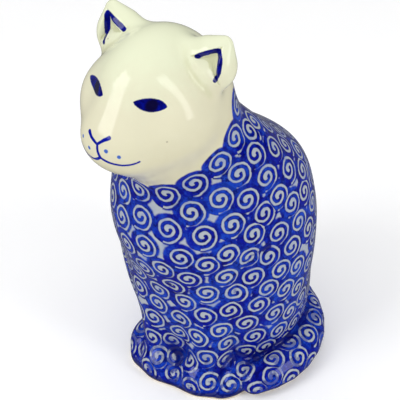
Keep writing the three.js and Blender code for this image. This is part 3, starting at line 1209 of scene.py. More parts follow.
class Tree:
    """A node tree with short ways to add to it."""

    def __init__(self, tree: bpy.types.NodeTree) -> None:
        """Starts with an empty tree."""
        self.tree = tree
        tree.nodes.clear()

    def put(self, socket: bpy.types.NodeSocket, value: object) -> None:
        """Links a socket to another, or sets its value."""
        if isinstance(value, bpy.types.NodeSocket):
            self.tree.links.new(value, socket)
        else:
            socket.default_value = value

    def node(self, kind: str, **settings: object) -> bpy.types.Node:
        """A new node with those settings."""
        made = self.tree.nodes.new("ShaderNode" + kind)
        for name, value in settings.items():
            setattr(made, name, value)
        return made

    def math(self, operation: str, *values: object, clamp: bool = False) -> bpy.types.NodeSocket:
        """A sum worked out by a Math node.

        Args:
            operation: the node's operation.
            values: numbers or sockets.
            clamp: whether the result stays in 0 to 1.

        Returns:
            The result's socket.
        """
        made = self.node("Math", operation=operation, use_clamp=clamp)
        for socket, value in zip(made.inputs, values):
            self.put(socket, value)
        return made.outputs[0]

    def vector(self, operation: str, *values: object, scale: object = None) -> bpy.types.Node:
        """A Vector Math node with those inputs."""
        made = self.node("VectorMath", operation=operation)
        for socket, value in zip(made.inputs, values):
            self.put(socket, value)
        if scale is not None:
            self.put(made.inputs["Scale"], scale)
        return made

    def times(self, first: object, second: object) -> bpy.types.NodeSocket:
        """Two values multiplied."""
        return self.math("MULTIPLY", first, second)

    def scaled(self, value: object, by: float, plus: object) -> bpy.types.NodeSocket:
        """A value multiplied and added to another."""
        return self.math("MULTIPLY_ADD", value, by, plus)

    def most(self, *values: object) -> bpy.types.NodeSocket:
        """The greatest of several values."""
        return reduce(partial(self.math, "MAXIMUM"), values)

    def total(self, *values: object) -> bpy.types.NodeSocket:
        """The sum of several values."""
        return reduce(partial(self.math, "ADD"), values)

    def ease(
        self, value: object, low: float, high: float, start: float = 0.0, end: float = 1.0
    ) -> bpy.types.NodeSocket:
        """A value eased from start to end while it goes from low to high.

        Args:
            value: number or socket.
            low: where the change begins.
            high: where it ends.
            start: result at low.
            end: result at high.

        Returns:
            The result's socket.
        """
        made = self.node("MapRange", interpolation_type="SMOOTHSTEP")
        for socket, part in zip(made.inputs, (value, low, high, start, end)):
            self.put(socket, part)
        return made.outputs[0]

    def mix(self, amount: object, first: object, second: object) -> bpy.types.NodeSocket:
        """Two colours mixed."""
        made = self.node("Mix", data_type="RGBA")
        self.put(made.inputs["Factor"], amount)
        self.put(made.inputs[6], first)
        self.put(made.inputs[7], second)
        return made.outputs[2]

    def noise(self, place: object, size: float, detail: float = 2.0, rough: float = 0.5) -> bpy.types.Node:
        """A noise whose patches are about that many units across."""
        made = self.node("TexNoise")
        self.put(made.inputs["Vector"], place)
        made.inputs["Scale"].default_value = 1.0 / size
        made.inputs["Detail"].default_value = detail
        made.inputs["Roughness"].default_value = rough
        return made

    def cells(self, place: object, size: float) -> bpy.types.Node:
        """A scatter of cells about that many units across."""
        made = self.node("TexVoronoi", feature="F1")
        self.put(made.inputs["Vector"], place)
        made.inputs["Scale"].default_value = 1.0 / size
        return made

    def bump(self, height: object, strength: float, depth: float) -> bpy.types.NodeSocket:
        """The surface's direction with that relief on it, its depth in metres."""
        made = self.node("Bump")
        made.inputs["Strength"].default_value = strength
        made.inputs["Distance"].default_value = depth
        self.put(made.inputs["Height"], height)
        return made.outputs[0]

    def split(self, vector: object) -> bpy.types.NodeSocket:
        """The three parts of a vector."""
        made = self.node("SeparateXYZ")
        self.put(made.inputs[0], vector)
        return made.outputs

    def attribute(self, name: str) -> bpy.types.NodeSocket:
        """A vector kept on the mesh."""
        return self.node("Attribute", attribute_name=name).outputs["Vector"]

    def place(self) -> bpy.types.NodeSocket:
        """Places in millimetres."""
        where = self.node("TexCoord").outputs["Object"]
        return self.vector("SCALE", where, scale=1.0 / MM).outputs[0]


def new_finish(name: str) -> tuple[bpy.types.Material, Tree, bpy.types.Node]:
    """A new material with its tree and its principled shader."""
    made = bpy.data.materials.new(name)
    made.use_nodes = True
    tree = Tree(made.node_tree)
    shader = tree.node("BsdfPrincipled")
    tree.put(tree.node("OutputMaterial").inputs[0], shader.outputs[0])
    return made, tree, shader


class Coat(IntEnum):
    """The finish of a face within a piece."""

    GLAZE = 0
    CLAY = 1


@dataclass(frozen=True)
class Spiral:
    """The spiral cut into the sponge, in mm: a band of colour that winds out clockwise."""

    start: float = 0.9
    growth: float = 2.58
    turns: float = 2.3
    half_band: float = 0.74
    outer_gain: float = 0.22
    gain_laps: tuple = (0.8, 1.6)
    edge_shares: tuple = (0.35, 0.9)
    outward: float = 1.05
    limit: tuple = (6.1, 7.0)
    softness: float = 0.2

    def group(self) -> bpy.types.NodeTree:
        """The spiral as a node group: a place on the stamp in, and colour, radius and edge out.

        Returns:
            The node group.
        """
        made = bpy.data.node_groups.new("sponge_spiral", "ShaderNodeTree")
        tree = Tree(made)
        made.interface.new_socket("Place", in_out="INPUT", socket_type="NodeSocketVector")
        for name in ("Ink", "Radius", "Edge"):
            made.interface.new_socket(name, in_out="OUTPUT", socket_type="NodeSocketFloat")
        came = made.nodes.new("NodeGroupInput")
        across, up, _ = tree.split(came.outputs[0])[:3]
        flat = tree.node("CombineXYZ")
        tree.put(flat.inputs[0], across)
        tree.put(flat.inputs[1], up)
        radius = tree.vector("LENGTH", flat.outputs[0]).outputs["Value"]
        angle = tree.math("ARCTAN2", tree.math("MULTIPLY", up, -1.0), across)
        turn = tree.math("FRACT", tree.math("ADD", tree.math("DIVIDE", angle, math.tau), 1.0))
        wound = tree.math("DIVIDE", tree.math("SUBTRACT", radius, self.start), self.growth)
        lap = tree.math("SUBTRACT", wound, turn)
        last = tree.math("FLOOR", tree.math("SUBTRACT", self.turns, turn))
        lap = tree.math("MAXIMUM", tree.math("MINIMUM", tree.math("ROUND", lap), last), 0.0)
        wound = tree.math("ADD", lap, turn)
        middle = tree.scaled(wound, self.growth, self.start)
        beyond = tree.math("SUBTRACT", radius, middle)
        gap = tree.math("ABSOLUTE", beyond)
        tip = tree.vector("DISTANCE", flat.outputs[0], (self.start, 0.0, 0.0)).outputs["Value"]
        gap = tree.math("MINIMUM", gap, tip)
        gap = tree.math("SUBTRACT", gap, tree.ease(wound, *self.gain_laps, 0.0, self.outer_gain))
        spread = tree.math("MINIMUM", tree.most(beyond, 0.0), self.outward)
        outermost = tree.math("GREATER_THAN", lap, tree.math("SUBTRACT", last, 0.5))
        gap = tree.math("SUBTRACT", gap, tree.times(spread, outermost))
        ink = tree.ease(gap, self.half_band - self.softness, self.half_band + self.softness, 1.0, 0.0)
        ink = tree.times(ink, tree.ease(radius, *self.limit, 1.0, 0.0))
        edge = tree.ease(gap, *(self.half_band * share for share in self.edge_shares))
        gone = made.nodes.new("NodeGroupOutput")
        for socket, value in zip(gone.inputs, (ink, radius, edge)):
            tree.put(socket, value)
        return made


@dataclass(frozen=True)
class StampedGlaze:
    """Clear glaze over cream slip, cobalt stamps and brushwork, bare at the foot, with painted shade in
    creases and low on the head and painted top light on the head.

    Sizes and heights are in mm, and a pair of numbers is where a change begins and ends.
    """

    spiral: Spiral = Spiral()
    cream: tuple = linear(226, 222, 194)
    # Darker, warmer cream low on the head is painted shade; the lighter, greener cream on its top is painted
    # top light.
    cream_shaded_low: tuple = linear(217, 210, 176)
    cream_lit_top: tuple = linear(231, 235, 205)
    ground: tuple = linear(177, 184, 191)
    ground_blue: tuple = linear(142, 156, 192)
    # Darker, greener cream for hollows: partly glaze pooled thicker, partly painted shade.
    cream_pool_shade: tuple = linear(203, 205, 163)
    light: tuple = linear(24, 68, 190)
    cobalt: tuple = linear(4, 18, 150)
    navy: tuple = linear(3, 2, 84)
    black: tuple = linear(10, 6, 52)
    dot: tuple = linear(72, 112, 196)
    clay: tuple = linear(226, 211, 184)
    speck: tuple = linear(120, 104, 70)
    mottle_size: float = 5.5
    fine_size: float = 1.3
    streak_size: float = 2.4
    shake_size: float = 3.4
    shake: float = 1.05
    clear_inside: tuple = (4.6, 5.4)
    stamp_cover: tuple = (5.0, 6.0)
    ground_start: tuple = (3.0, 6.5)
    ground_patches: tuple = (0.42, 0.8)
    cream_pool_shade_hollow: tuple = (0.02, 0.12)
    cream_pool_shade_most: float = 0.7
    # Heights over which the cream turns to painted shade low down and to painted top light on top.
    shaded_low_heights: tuple = (118.0, 150.0)
    shaded_low_most: float = 0.65
    shaded_low_swing: float = 14.0
    lit_top_heights: tuple = (144.0, 164.0)
    lit_top_swing: float = 12.0
    speck_pitch: float = 9.0
    speck_size: tuple = (0.022, 0.05)
    speck_share: tuple = (0.55, 0.6)
    speck_strength: float = 0.55
    # Creases fill with blue and navy: partly glaze pooled there, partly painted shade.
    pool_shade_start: tuple = (5.0, 9.0)
    pool_shade_hollow: tuple = (0.09, 0.14)
    pool_shade_ragged: float = 0.06
    pool_shade_cover: float = 0.96
    band_height: float = 5.0
    band_swing: float = 6.0
    band_edge: float = 0.6
    band_cover: float = 0.94
    splash_heights: tuple = (8.0, 26.0)
    splash_most: float = 0.85
    splash_patches: tuple = (0.45, 0.57)
    watery_fine: float = 0.5
    watery_mottle: float = 0.9
    watery_tone: float = 0.22
    watery_range: tuple = (0.66, 1.04)
    patches: tuple = (0.3, 0.7)
    edge_dark: tuple = (0.9, 0.5)
    # Navy in creases: pooled colour and painted shade.
    pool_shade_dark: tuple = (0.75, 0.3)
    overlap_dark: float = 0.45
    streaks: tuple = (0.48, 0.64)
    streak_dark: float = 0.8
    hem_heights: tuple = (1.6, 3.4)
    hem_swing: float = -2.0
    hem_dark: float = 0.9
    foot_height: float = 0.55
    foot_swing: float = 1.1
    foot_edge: float = 0.12
    brush_ragged: float = 0.3
    brush_edge: tuple = (0.02, 0.32)
    load_swing: float = 0.5
    thin_load: tuple = (0.25, 0.62)
    thick_load: tuple = (0.62, 0.95)
    pupil_swing: float = 1.2
    pupil_edge: tuple = (0.2, 1.2)
    roughness: float = 0.05
    roughness_swing: float = 0.05
    bare_roughness: float = 0.7
    ripple_size: float = 9.0
    ripple: float = 0.35
    ripple_depth: float = 0.00009
    pit_pitch: float = 6.0
    pit_size: tuple = (0.02, 0.06)
    pit_depth: float = -0.35
    ink_sink: float = -0.05
    grain: float = 0.03

    def material(self) -> bpy.types.Material:
        """The finish as a material."""
        made, tree, shader = new_finish("stamped_and_painted_glaze")
        place = tree.place()
        below, hollow, height = tree.split(tree.attribute("site"))[:3]
        mottle = tree.noise(place, self.mottle_size, 3.0, 0.6).outputs[0]
        fine = tree.noise(place, self.fine_size, 2.0, 0.6).outputs[0]
        ink, twice, tone, edge, cover = self._stamps(tree, place)
        # Crease mask: pooled colour that also paints shade into the creases.
        pool = tree.ease(tree.scaled(fine, self.pool_shade_ragged, hollow), *self.pool_shade_hollow)
        pool = tree.times(pool, tree.ease(below, *self.pool_shade_start))
        slip = self._slip(tree, place, mottle, hollow)
        ground = tree.mix(tree.ease(mottle, *self.ground_patches), self.ground, self.ground_blue)
        slip = tree.mix(tree.most(cover, tree.ease(below, *self.ground_start)), slip, ground)
        watery = tree.scaled(fine, self.watery_fine, tree.times(mottle, self.watery_mottle))
        watery = tree.scaled(tone, self.watery_tone, watery)
        blue = tree.mix(tree.ease(watery, *self.watery_range), self.cobalt, self.light)
        blue = tree.mix(self._dark(tree, place, mottle, height, edge, twice, pool), blue, self.navy)
        # The wash is the watery foot band and the blue in creases, the latter partly painted shade.
        wash = tree.most(
            tree.times(pool, self.pool_shade_cover),
            tree.times(self._band(tree, mottle, height), self.band_cover),
        )
        painted = tree.mix(tree.most(ink, wash), slip, blue)
        foot = tree.scaled(mottle, self.foot_swing, self.foot_height)
        bare = tree.ease(tree.math("SUBTRACT", foot, height), -self.foot_edge, self.foot_edge)
        colour = tree.mix(bare, self._brushed(tree, painted, fine, mottle), self.clay)
        tree.put(shader.inputs["Base Color"], colour)
        rough = tree.scaled(fine, self.roughness_swing, self.roughness)
        tree.put(shader.inputs["Roughness"], tree.scaled(bare, self.bare_roughness, rough))
        shader.inputs["IOR"].default_value = 1.5
        shader.inputs["Specular IOR Level"].default_value = 0.3
        tree.put(shader.inputs["Normal"], self._relief(tree, place, ink, fine))
        return made

    def _slip(self, tree: Tree, place: object, mottle: object, hollow: object) -> bpy.types.NodeSocket:
        """The cream slip of the head: darker and a little warmer low down as painted shade, lighter and a
        little green on top as painted top light, darker and greener in hollows as pooled glaze and painted
        shade, with specks.
        """
        height = tree.split(place)[2]
        # Painted shade low on the head, painted top light on its top.
        shaded_low = tree.scaled(mottle, self.shaded_low_swing, height)
        shaded_low = tree.ease(shaded_low, *self.shaded_low_heights, self.shaded_low_most, 0.0)
        lit_top = tree.ease(tree.scaled(mottle, self.lit_top_swing, height), *self.lit_top_heights)
        slip = tree.mix(lit_top, tree.mix(shaded_low, self.cream, self.cream_shaded_low), self.cream_lit_top)
        cells = tree.cells(place, self.speck_pitch)
        speck = tree.ease(cells.outputs["Distance"], *self.speck_size, self.speck_strength, 0.0)
        rare = tree.ease(tree.split(cells.outputs["Color"])[0], *self.speck_share)
        slip = tree.mix(tree.times(speck, rare), slip, self.speck)
        # Hollows take the darker cream: partly pooled glaze, partly painted shade.
        return tree.mix(tree.ease(hollow, *self.cream_pool_shade_hollow, 0.0, self.cream_pool_shade_most), slip, self.cream_pool_shade)

    def _band(self, tree: Tree, mottle: object, height: object) -> bpy.types.NodeSocket:
        """How far the watery colour at the foot, and its splashes on the paws, cover each place."""
        hem = tree.scaled(mottle, self.band_swing, self.band_height - self.band_swing / 2)
        band = tree.ease(tree.math("SUBTRACT", hem, height), -self.band_edge, self.band_edge)
        low = tree.ease(height, *self.splash_heights, self.splash_most, 0.0)
        return tree.most(band, tree.times(low, tree.ease(mottle, *self.splash_patches)))

    def _dark(
        self,
        tree: Tree,
        place: object,
        mottle: object,
        height: object,
        edge: object,
        twice: object,
        pool: object,
    ) -> bpy.types.NodeSocket:
        """How dark the blue is: at band edges, in streaks, where stamps overlap, in creases, where it is
        partly painted shade, and at the hem.

        Args:
            tree: the material's tree.
            place: places in millimetres.
            mottle: a broad noise.
            height: height over the ground.
            edge: how near the edge of a stamp's band a place lies.
            twice: how much of a second stamp lies there.
            pool: how far the colour has pooled there, which also paints shade into creases.

        Returns:
            The share of navy.
        """
        streak = tree.noise(place, self.streak_size, 3.0, 0.65).outputs[0]
        hem = tree.scaled(mottle, self.hem_swing, height)
        return tree.most(
            tree.times(edge, tree.ease(mottle, *self.patches, *self.edge_dark)),
            tree.ease(streak, *self.streaks, 0.0, self.streak_dark),
            tree.times(twice, self.overlap_dark),
            # Navy in creases: pooled colour and painted shade.
            tree.times(pool, tree.ease(mottle, *self.patches, *self.pool_shade_dark)),
            tree.ease(hem, *self.hem_heights, self.hem_dark, 0.0),
        )

    def _stamps(self, tree: Tree, place: object) -> tuple:
        """The three nearest stamps laid over each other.

        Args:
            tree: the material's tree.
            place: places in millimetres.

        Returns:
            Sockets for the colour's cover, where two stamps overlap, the stamp's tone, the band's edge and
            whether a place lies on a stamp.
        """
        group = self.spiral.group()
        shake = tree.noise(place, self.shake_size, 2.0, 0.6).outputs["Color"]
        shake = tree.vector("SUBTRACT", shake, (0.5, 0.5, 0.5)).outputs[0]
        shake = tree.vector("MULTIPLY", shake, (self.shake, self.shake, 0.0)).outputs[0]
        inks, radii, edges, tones = [], [], [], []
        for name in STAMP_LAYERS:
            spot = tree.attribute(name)
            stamp = tree.node("Group")
            stamp.node_tree = group
            tree.put(stamp.inputs[0], tree.vector("ADD", spot, shake).outputs[0])
            for found, socket in zip((inks, radii, edges), stamp.outputs):
                found.append(socket)
            tones.append(tree.split(spot)[2])
        laid = []
        for k in range(3):
            other = tree.math("MINIMUM", radii[(k + 1) % 3], radii[(k + 2) % 3])
            clear = tree.ease(other, *self.clear_inside)
            first = tree.math("LESS_THAN", radii[k], other)
            laid.append(tree.times(inks[k], tree.most(clear, first)))
        total = tree.total(*laid)
        share = tree.most(total, 0.01)

        def blended(values: list) -> bpy.types.NodeSocket:
            """The stamps' values, each counted by the colour it lays."""
            return tree.math("DIVIDE", tree.total(*map(tree.times, values, laid)), share)

        nearest = tree.math("MINIMUM", tree.math("MINIMUM", radii[0], radii[1]), radii[2])
        ink = tree.math("MINIMUM", total, 1.0)
        twice = tree.math("SUBTRACT", total, 1.0, clamp=True)
        return ink, twice, blended(tones), blended(edges), tree.ease(nearest, *self.stamp_cover, 1.0, 0.0)

    def _brushed(self, tree: Tree, under: object, fine: object, mottle: object) -> bpy.types.NodeSocket:
        """The hand-painted lines and eyes over what is under them.

        Args:
            tree: the material's tree.
            under: the colour under the paint.
            fine: a fine noise.
            mottle: a broader noise.

        Returns:
            The colour with the paint on it.
        """
        gap, load, pupil = tree.split(tree.attribute("brush"))[:3]
        paint = tree.ease(tree.scaled(fine, self.brush_ragged, gap), *self.brush_edge, 1.0, 0.0)
        strength = tree.scaled(tree.math("SUBTRACT", fine, 0.5), self.load_swing, load)
        thin = tree.mix(tree.ease(strength, *self.thin_load), self.dot, self.cobalt)
        thick = tree.mix(tree.ease(strength, *self.thick_load), thin, self.navy)
        eye = tree.ease(tree.scaled(mottle, self.pupil_swing, pupil), *self.pupil_edge, 1.0, 0.0)
        return tree.mix(paint, under, tree.mix(eye, thick, self.black))

    def _relief(self, tree: Tree, place: object, ink: object, fine: object) -> bpy.types.NodeSocket:
        """The glaze's slow ripple and pinholes, and how it lies a little thinner over the colour."""
        ripple = tree.noise(place, self.ripple_size, 2.0, 0.4).outputs[0]
        pits = tree.cells(place, self.pit_pitch).outputs["Distance"]
        height = tree.math("ADD", ripple, tree.ease(pits, *self.pit_size, self.pit_depth, 0.0))
        height = tree.scaled(ink, self.ink_sink, height)
        return tree.bump(tree.scaled(fine, self.grain, height), self.ripple, self.ripple_depth)


@dataclass(frozen=True)
class BareClay:
    """The fired clay body without glaze: the foot, the underside and the inside of the casting."""

    pale: tuple = linear(222, 205, 176)
    dark: tuple = linear(196, 174, 140)
    iron: tuple = linear(128, 92, 58)
    cloud_size: float = 7.0
    clouds: tuple = (0.35, 0.7)
    grain_size: float = 0.35
    grain: float = 0.7
    grain_depth: float = 0.00006
    fleck_pitch: float = 1.6
    fleck_size: tuple = (0.08, 0.16)
    fleck_strength: float = 0.6
    roughness: float = 0.8
    roughness_swing: float = 0.12

    def material(self) -> bpy.types.Material:
        """The finish as a material."""
        made, tree, shader = new_finish("bare_stoneware")
        place = tree.place()
        broad = tree.noise(place, self.cloud_size, 4.0, 0.6).outputs[0]
        grain = tree.noise(place, self.grain_size, 2.0, 0.7).outputs[0]
        colour = tree.mix(tree.ease(broad, *self.clouds), self.pale, self.dark)
        flecks = tree.cells(place, self.fleck_pitch).outputs["Distance"]
        colour = tree.mix(tree.ease(flecks, *self.fleck_size, self.fleck_strength, 0.0), colour, self.iron)
        tree.put(shader.inputs["Base Color"], colour)
        tree.put(shader.inputs["Roughness"], tree.scaled(grain, self.roughness_swing, self.roughness))
        tree.put(shader.inputs["Normal"], tree.bump(grain, self.grain, self.grain_depth))
        return made


@dataclass(frozen=True)
class PalePaper:
    """The plain pale sheet that the figurine stands on."""

    colour: tuple = linear(252, 252, 252)
    shade: tuple = linear(249, 249, 250)
    mirrored: tuple = linear(60, 60, 62)
    cloud_size: float = 60.0
    glow: float = 0.1

    def material(self) -> bpy.types.Material:
        """The finish as a material, darker where the glaze mirrors it."""
        made, tree, shader = new_finish("pale_sweep")
        mottle = tree.noise(tree.place(), self.cloud_size, 2.0).outputs[0]
        glossy = tree.node("LightPath").outputs["Is Glossy Ray"]
        sheet = tree.mix(mottle, self.colour, self.shade)
        tree.put(shader.inputs["Base Color"], tree.mix(glossy, sheet, self.mirrored))
        shader.inputs["Roughness"].default_value = 0.9
        shader.inputs["Emission Color"].default_value = (1.0, 1.0, 1.0, 1.0)
        shader.inputs["Emission Strength"].default_value = self.glow
        return made


# ---------------------------------------------------------------- making pieces


class MeshBuild:
    """Points and triangles of one piece, with a direction and a finish for each face."""

    def __init__(self, points: np.ndarray) -> None:
        """Starts with the piece's points, in mm in the maker's frame."""
        self.points = points
        self.faces: list[np.ndarray] = []
        self.normals: list[np.ndarray] = []
        self.coats: list[np.ndarray] = []

    def add(self, faces: np.ndarray, normals: np.ndarray | None, coat: Coat) -> None:
        """Adds faces.

        Args:
            faces: triangles.
            normals: a direction for each corner, or None for each face's own.
            coat: their finish.
        """
        if not len(faces):
            return
        if normals is None:
            corners = self.points[faces]
            flat = np.cross(corners[:, 1] - corners[:, 0], corners[:, 2] - corners[:, 0])
            flat /= np.maximum(np.linalg.norm(flat, axis=1, keepdims=True), 1e-12)
            normals = np.repeat(flat[:, None], 3, axis=1)
        self.faces.append(faces)
        self.normals.append(normals)
        self.coats.append(np.full(len(faces), int(coat), np.int32))


@dataclass
class Workshop:
    """Everything that a piece is made with: the form, its skin, the stamps, the finishes and the frame."""

    cat: Cat
    skin: Skin
    stamps: SpongeStamps
    glaze: bpy.types.Material
    clay: bpy.types.Material
    shift: np.ndarray

    def shell(self, name: str, slot: Slot, depths: dict[Zone, float], wall: float) -> bpy.types.Object:
        """Makes a hollow-walled piece from zones of the skin.

        Args:
            name: the piece's CAD node.
            slot: the record's slot.
            depths: how deep below the skin each zone's outer face lies.
            wall: how deep the inner face lies.

        Returns:
            The finished object.
        """
        skin = self.skin
        groups = {zone: skin.zone_faces(zone) for zone in depths}
        every = np.concatenate(list(groups.values()))
        used, _ = np.unique(every, return_inverse=True)
        lookup = np.full(len(skin.points), -1)
        lookup[used] = np.arange(len(used))
        base, normal = skin.points[used], skin.data["normal"][used]
        levels = sorted(set(depths.values()) | {wall})
        build = MeshBuild(np.concatenate([base - normal * level for level in levels]))
        offset = {level: levels.index(level) * len(used) for level in levels}
        for zone, faces in groups.items():
            local = lookup[faces]
            coat = Coat.GLAZE if depths[zone] == 0 else Coat.CLAY
            build.add(local + offset[depths[zone]], normal[local], coat)
        whole = lookup[every]
        build.add(whole[:, ::-1] + offset[wall], -normal[whole][:, ::-1], Coat.CLAY)
        here = np.arange(len(used))
        size = len(used) + 1
        open_edges = boundary(whole)
        open_keys = open_edges[:, 0] * size + open_edges[:, 1]
        for zone, faces in groups.items():
            edge = boundary(lookup[faces])
            on_rim = np.isin(edge[:, 0] * size + edge[:, 1], open_keys)
            outer = here + offset[depths[zone]]
            build.add(strips(edge[on_rim], outer, here + offset[wall]), None, Coat.CLAY)
            if depths[zone] > 0:
                build.add(strips(edge[~on_rim], outer, here + offset[0.0]), None, Coat.CLAY)
        return self.dress(name, slot, build, np.tile(used, len(levels)))

    def dress(self, name: str, slot: Slot, build: MeshBuild, source: np.ndarray) -> bpy.types.Object:
        """Turns a build into an object with its finishes, riding on the frame.

        Args:
            name: the piece's CAD node.
            slot: the record's slot.
            build: the piece's points and faces.
            source: the skin's point behind each of the piece's points.

        Returns:
            The finished object.
        """
        faces = np.concatenate(build.faces)
        normals = np.concatenate(build.normals)
        coats = np.concatenate(build.coats)
        kept, local = np.unique(faces, return_inverse=True)
        local = local.reshape(-1, 3)
        points = build.points[kept]
        if len(source) < len(build.points):
            source = np.concatenate([source, source])
        source = source[kept]
        mesh = bpy.data.meshes.new(name)
        mesh.from_pydata(((points + self.shift) * MM).tolist(), [], local.tolist())
        mesh.shade_smooth()
        mesh.polygons.foreach_set("material_index", coats)
        mesh.normals_split_custom_set(normals.reshape(-1, 3).tolist())
        for key in ("brush", "site"):
            made = mesh.attributes.new(key, "FLOAT_VECTOR", "POINT")
            made.data.foreach_set("vector", self.skin.data[key][source].astype(np.float32).ravel())
        if slot is not Slot.CLAY:
            printed = self.stamps.printed(points[local], normals.mean(1))
            for key, part in zip(STAMP_LAYERS, printed):
                made = mesh.attributes.new(key, "FLOAT_VECTOR", "CORNER")
                made.data.foreach_set("vector", part.ravel())
        mesh.materials.append(self.glaze)
        mesh.materials.append(self.clay)
        mesh.update()
        piece = bpy.data.objects.new("glazed_" + name if slot is not Slot.CLAY else "fired_" + name, mesh)
        bpy.context.scene.collection.objects.link(piece)
        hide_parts(name)
        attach(piece, BODY)
        LOG.info("%s: %d faces", piece.name, len(local))
        return piece


def neck_distance(skin: Skin, cat: Cat) -> np.ndarray:
    """How far below the neckline each point of the skin lies.

    Args:
        skin: the skin.
        cat: the form, whose head and body meet along the neckline.

    Returns:
        The distance in mm, negative on the head.
    """
    split = cat.head.head(skin.points) - cat.body(skin.points)
    a, b = skin.edges().T
    crossing = (split[a] < 0) != (split[b] < 0)
    a, b = a[crossing], b[crossing]
    share = (split[a] / (split[a] - split[b]))[:, None]
    line = skin.points[a] * (1 - share) + skin.points[b] * share
    line = line[:: max(1, len(line) // NECKLINE_SAMPLES)]
    gap = np.empty(len(skin.points))
    for start in range(0, len(gap), BATCH):
        part = slice(start, start + BATCH)
        gap[part] = np.sqrt(np.maximum(square_gaps(skin.points[part], line).min(1), 0))
    drop = NECKLINE_DROP * smoothstep(skin.points[:, 2], *NECKLINE_DROP_HEIGHTS)
    return np.where(split > 0, gap, -gap) - drop


# ---------------------------------------------------------------- studio


def toward(azimuth: float, elevation: float) -> Vector:
    """The direction at that azimuth, from the cat's front to its left, and elevation, in degrees."""
    turn, lift = math.radians(azimuth), math.radians(elevation)
    return Vector((math.sin(turn) * math.cos(lift), -math.cos(turn) * math.cos(lift), math.sin(lift)))


@dataclass(frozen=True)
class Softbox:
    """A rectangular lamp: the direction it stands in, its distance, size and power."""

    name: str
    azimuth: float
    elevation: float
    distance: float
    width: float
    height: float
    power: float

    def build(self, target: Vector) -> None:
        """Stands the lamp, facing the target."""
        lamp = bpy.data.lights.new(self.name, "AREA")
        lamp.shape = "RECTANGLE"
        lamp.size = self.width
        lamp.size_y = self.height
        lamp.energy = self.power
        made = bpy.data.objects.new(self.name, lamp)
        back = toward(self.azimuth, self.elevation)
        made.location = target + back * self.distance
        made.rotation_mode = "QUATERNION"
        made.rotation_quaternion = (-back).to_track_quat("-Z", "Y")
        made.visible_glossy = False
        bpy.context.scene.collection.objects.link(made)


@dataclass(frozen=True)
class Window:
    """A bright window that only shows as a reflection, measured in degrees."""

    azimuth: float
    elevation: float
    half_width: float
    half_height: float
    strength: float
    edge: float = 2.5

    def shown(self, tree: Tree, turn: object, lift: object) -> bpy.types.NodeSocket:
        """How brightly the window shows in a direction.

        Args:
            tree: the surround's tree.
            turn: the direction's azimuth, in radians.
            lift: the direction's elevation, in radians.

        Returns:
            The brightness.
        """
        soft = math.radians(self.edge)
        light = self.strength
        for value, middle, half in (
            (turn, self.azimuth, self.half_width),
            (lift, self.elevation, self.half_height),
        ):
            gap = tree.math("ABSOLUTE", tree.math("SUBTRACT", value, math.radians(middle)))
            reach = math.radians(half)
            light = tree.times(tree.ease(gap, reach - soft, reach + soft, 1.0, 0.0), light)
        return light


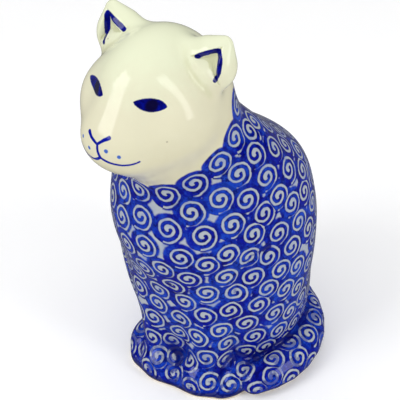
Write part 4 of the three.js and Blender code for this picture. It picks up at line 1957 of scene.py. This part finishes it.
@dataclass
class Studio:
    """Pale sweep, soft lamps and the camera, placed from the figurine's own box."""

    azimuth: float = 34.0
    elevation: float = 36.5
    roll: float = -3.8
    distance: float = 0.430
    lens: float = 99.45
    aim_height: float = 0.4407
    aim_side: float = -0.072
    aim_back: float = 0.0743
    floor_reach: float = 1.6
    floor_steps: int = 41
    floor_gap: float = 0.00002
    roll_start: float = 0.75
    roll_rise: float = 0.35
    sky: float = 0.34
    mirrored_sky: float = 0.1
    zenith: float = 0.95
    zenith_start: tuple = (0.2, 0.9)
    boxes: tuple = (
        Softbox("window_left", -26, 44, 0.9, 0.36, 0.42, 2.5),
        Softbox("window_right", 84, 28, 0.9, 0.18, 0.62, 1.9),
    )
    windows: tuple = (Window(-30, 40, 23, 19, 5.0), Window(85, 24, 10, 21, 4.5))

    def build(self, low: Vector, high: Vector) -> None:
        """Sets up the floor, the lamps and the camera.

        Args:
            low: lowest corner of the figurine.
            high: highest corner of the figurine.
        """
        size = high - low
        centre = (low + high) / 2
        aim = Vector(
            (
                centre.x + self.aim_side * size.x,
                centre.y + self.aim_back * size.y,
                low.z + self.aim_height * size.z,
            )
        )
        self._floor(low.z)
        for box in self.boxes:
            box.build(aim)
        self._sky()
        self._camera(aim)

    def _floor(self, height: float) -> None:
        """A sheet with a slight roll at its edges, a hair below the foot."""
        count = self.floor_steps
        steps = np.linspace(-1, 1, count)
        x, y = np.meshgrid(steps * self.floor_reach, steps * self.floor_reach, indexing="ij")
        edge = np.maximum(np.hypot(x, y) - self.roll_start * self.floor_reach, 0)
        points = np.stack([x, y, height - self.floor_gap + self.roll_rise * edge**2], -1).reshape(-1, 3)
        index = np.arange(count * count).reshape(count, count)
        quads = np.stack([index[:-1, :-1], index[1:, :-1], index[1:, 1:], index[:-1, 1:]], -1).reshape(-1, 4)
        mesh = bpy.data.meshes.new("sweep")
        mesh.from_pydata(points.tolist(), [], quads.tolist())
        mesh.shade_smooth()
        mesh.materials.append(PalePaper().material())
        floor = bpy.data.objects.new("sweep", mesh)
        bpy.context.scene.collection.objects.link(floor)
        floor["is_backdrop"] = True

    def _sky(self) -> None:
        """A white surround, brighter overhead, that is mirrored faintly but for its windows."""
        world = bpy.data.worlds.new("surround")
        bpy.context.scene.world = world
        world.use_nodes = True
        tree = Tree(world.node_tree)
        east, north, upward = tree.split(tree.node("TexCoord").outputs["Generated"])[:3]
        turn = tree.math("ARCTAN2", east, tree.math("MULTIPLY", north, -1.0))
        lift = tree.math("ARCSINE", upward)
        shade = tree.node("Background")
        shade.inputs["Color"].default_value = (1.0, 1.0, 1.0, 1.0)
        light = tree.ease(upward, *self.zenith_start, self.sky, self.zenith)
        glossy = tree.node("LightPath").outputs["Is Glossy Ray"]
        light = tree.times(light, tree.scaled(glossy, self.mirrored_sky - 1.0, 1.0))
        for window in self.windows:
            light = tree.scaled(window.shown(tree, turn, lift), glossy, light)
        tree.put(shade.inputs["Strength"], light)
        out = tree.node("OutputWorld")
        tree.put(out.inputs[0], shade.outputs[0])

    def _camera(self, aim: Vector) -> None:
        """The camera, looking down at the figurine with a slight roll."""
        turn, roll = math.radians(self.azimuth), math.radians(self.roll)
        back = toward(self.azimuth, self.elevation)
        side = Vector((math.cos(turn), math.sin(turn), 0.0))
        rise = back.cross(side)
        right = side * math.cos(roll) + rise * math.sin(roll)
        up = rise * math.cos(roll) - side * math.sin(roll)
        lens = bpy.data.cameras.new("view")
        lens.lens = self.lens
        lens.clip_start = 0.01
        lens.clip_end = 20.0
        camera = bpy.data.objects.new("view", lens)
        camera.matrix_world = Matrix(
            (
                (right.x, up.x, back.x, aim.x + back.x * self.distance),
                (right.y, up.y, back.y, aim.y + back.y * self.distance),
                (right.z, up.z, back.z, aim.z + back.z * self.distance),
                (0.0, 0.0, 0.0, 1.0),
            )
        )
        bpy.context.scene.collection.objects.link(camera)
        bpy.context.scene.camera = camera
        bpy.context.scene.view_settings.view_transform = "Standard"


def main() -> None:
    """Builds the figurine and its studio."""
    logging.basicConfig(level=logging.INFO, format="%(message)s")
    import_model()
    cad_low, cad_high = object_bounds()
    cat = Cat()
    skin = Skin.of(cat)
    LOG.info("skin: %d points, %d faces", len(skin.points), len(skin.faces))
    brush = BrushWork()
    for reach in brush.fine_reaches:
        gap = brush.marks(skin.points, cat)[:, 0]
        skin.refine(np.abs(gap[skin.faces]).min(1) < reach, cat)
    skin.data["normal"] = cat.normals(skin.points)
    skin.data["brush"] = brush.marks(skin.points, cat)
    # The hollowness kept in site marks the creases that get pooled colour and painted shade.
    skin.data["site"] = np.stack([neck_distance(skin, cat), skin.hollowness(), skin.points[:, 2]], 1)
    stamps = SpongeStamps()
    stamps.place(skin, cat)
    cat.base.divide(skin)
    skin.divide(lambda p: -cat.head.lute_field(p), Zone.TORSO, Zone.HEAD)
    cat.torso.divide(skin)
    cat.head.divide(skin)
    form_low, form_high = skin.points.min(0), skin.points.max(0)
    middle = (cad_low + cad_high) / 2
    shift = np.array([middle.x, middle.y]) / MM - (form_low + form_high)[:2] / 2
    shop = Workshop(
        cat,
        skin,
        stamps,
        StampedGlaze().material(),
        BareClay().material(),
        np.array([shift[0], shift[1], cad_low.z / MM - form_low[2]]),
    )
    cat.base.build(shop)
    cat.torso.build(shop)
    cat.head.build(shop)
    Studio().build(cad_low, cad_high)


if __name__ == "__main__":
    main()
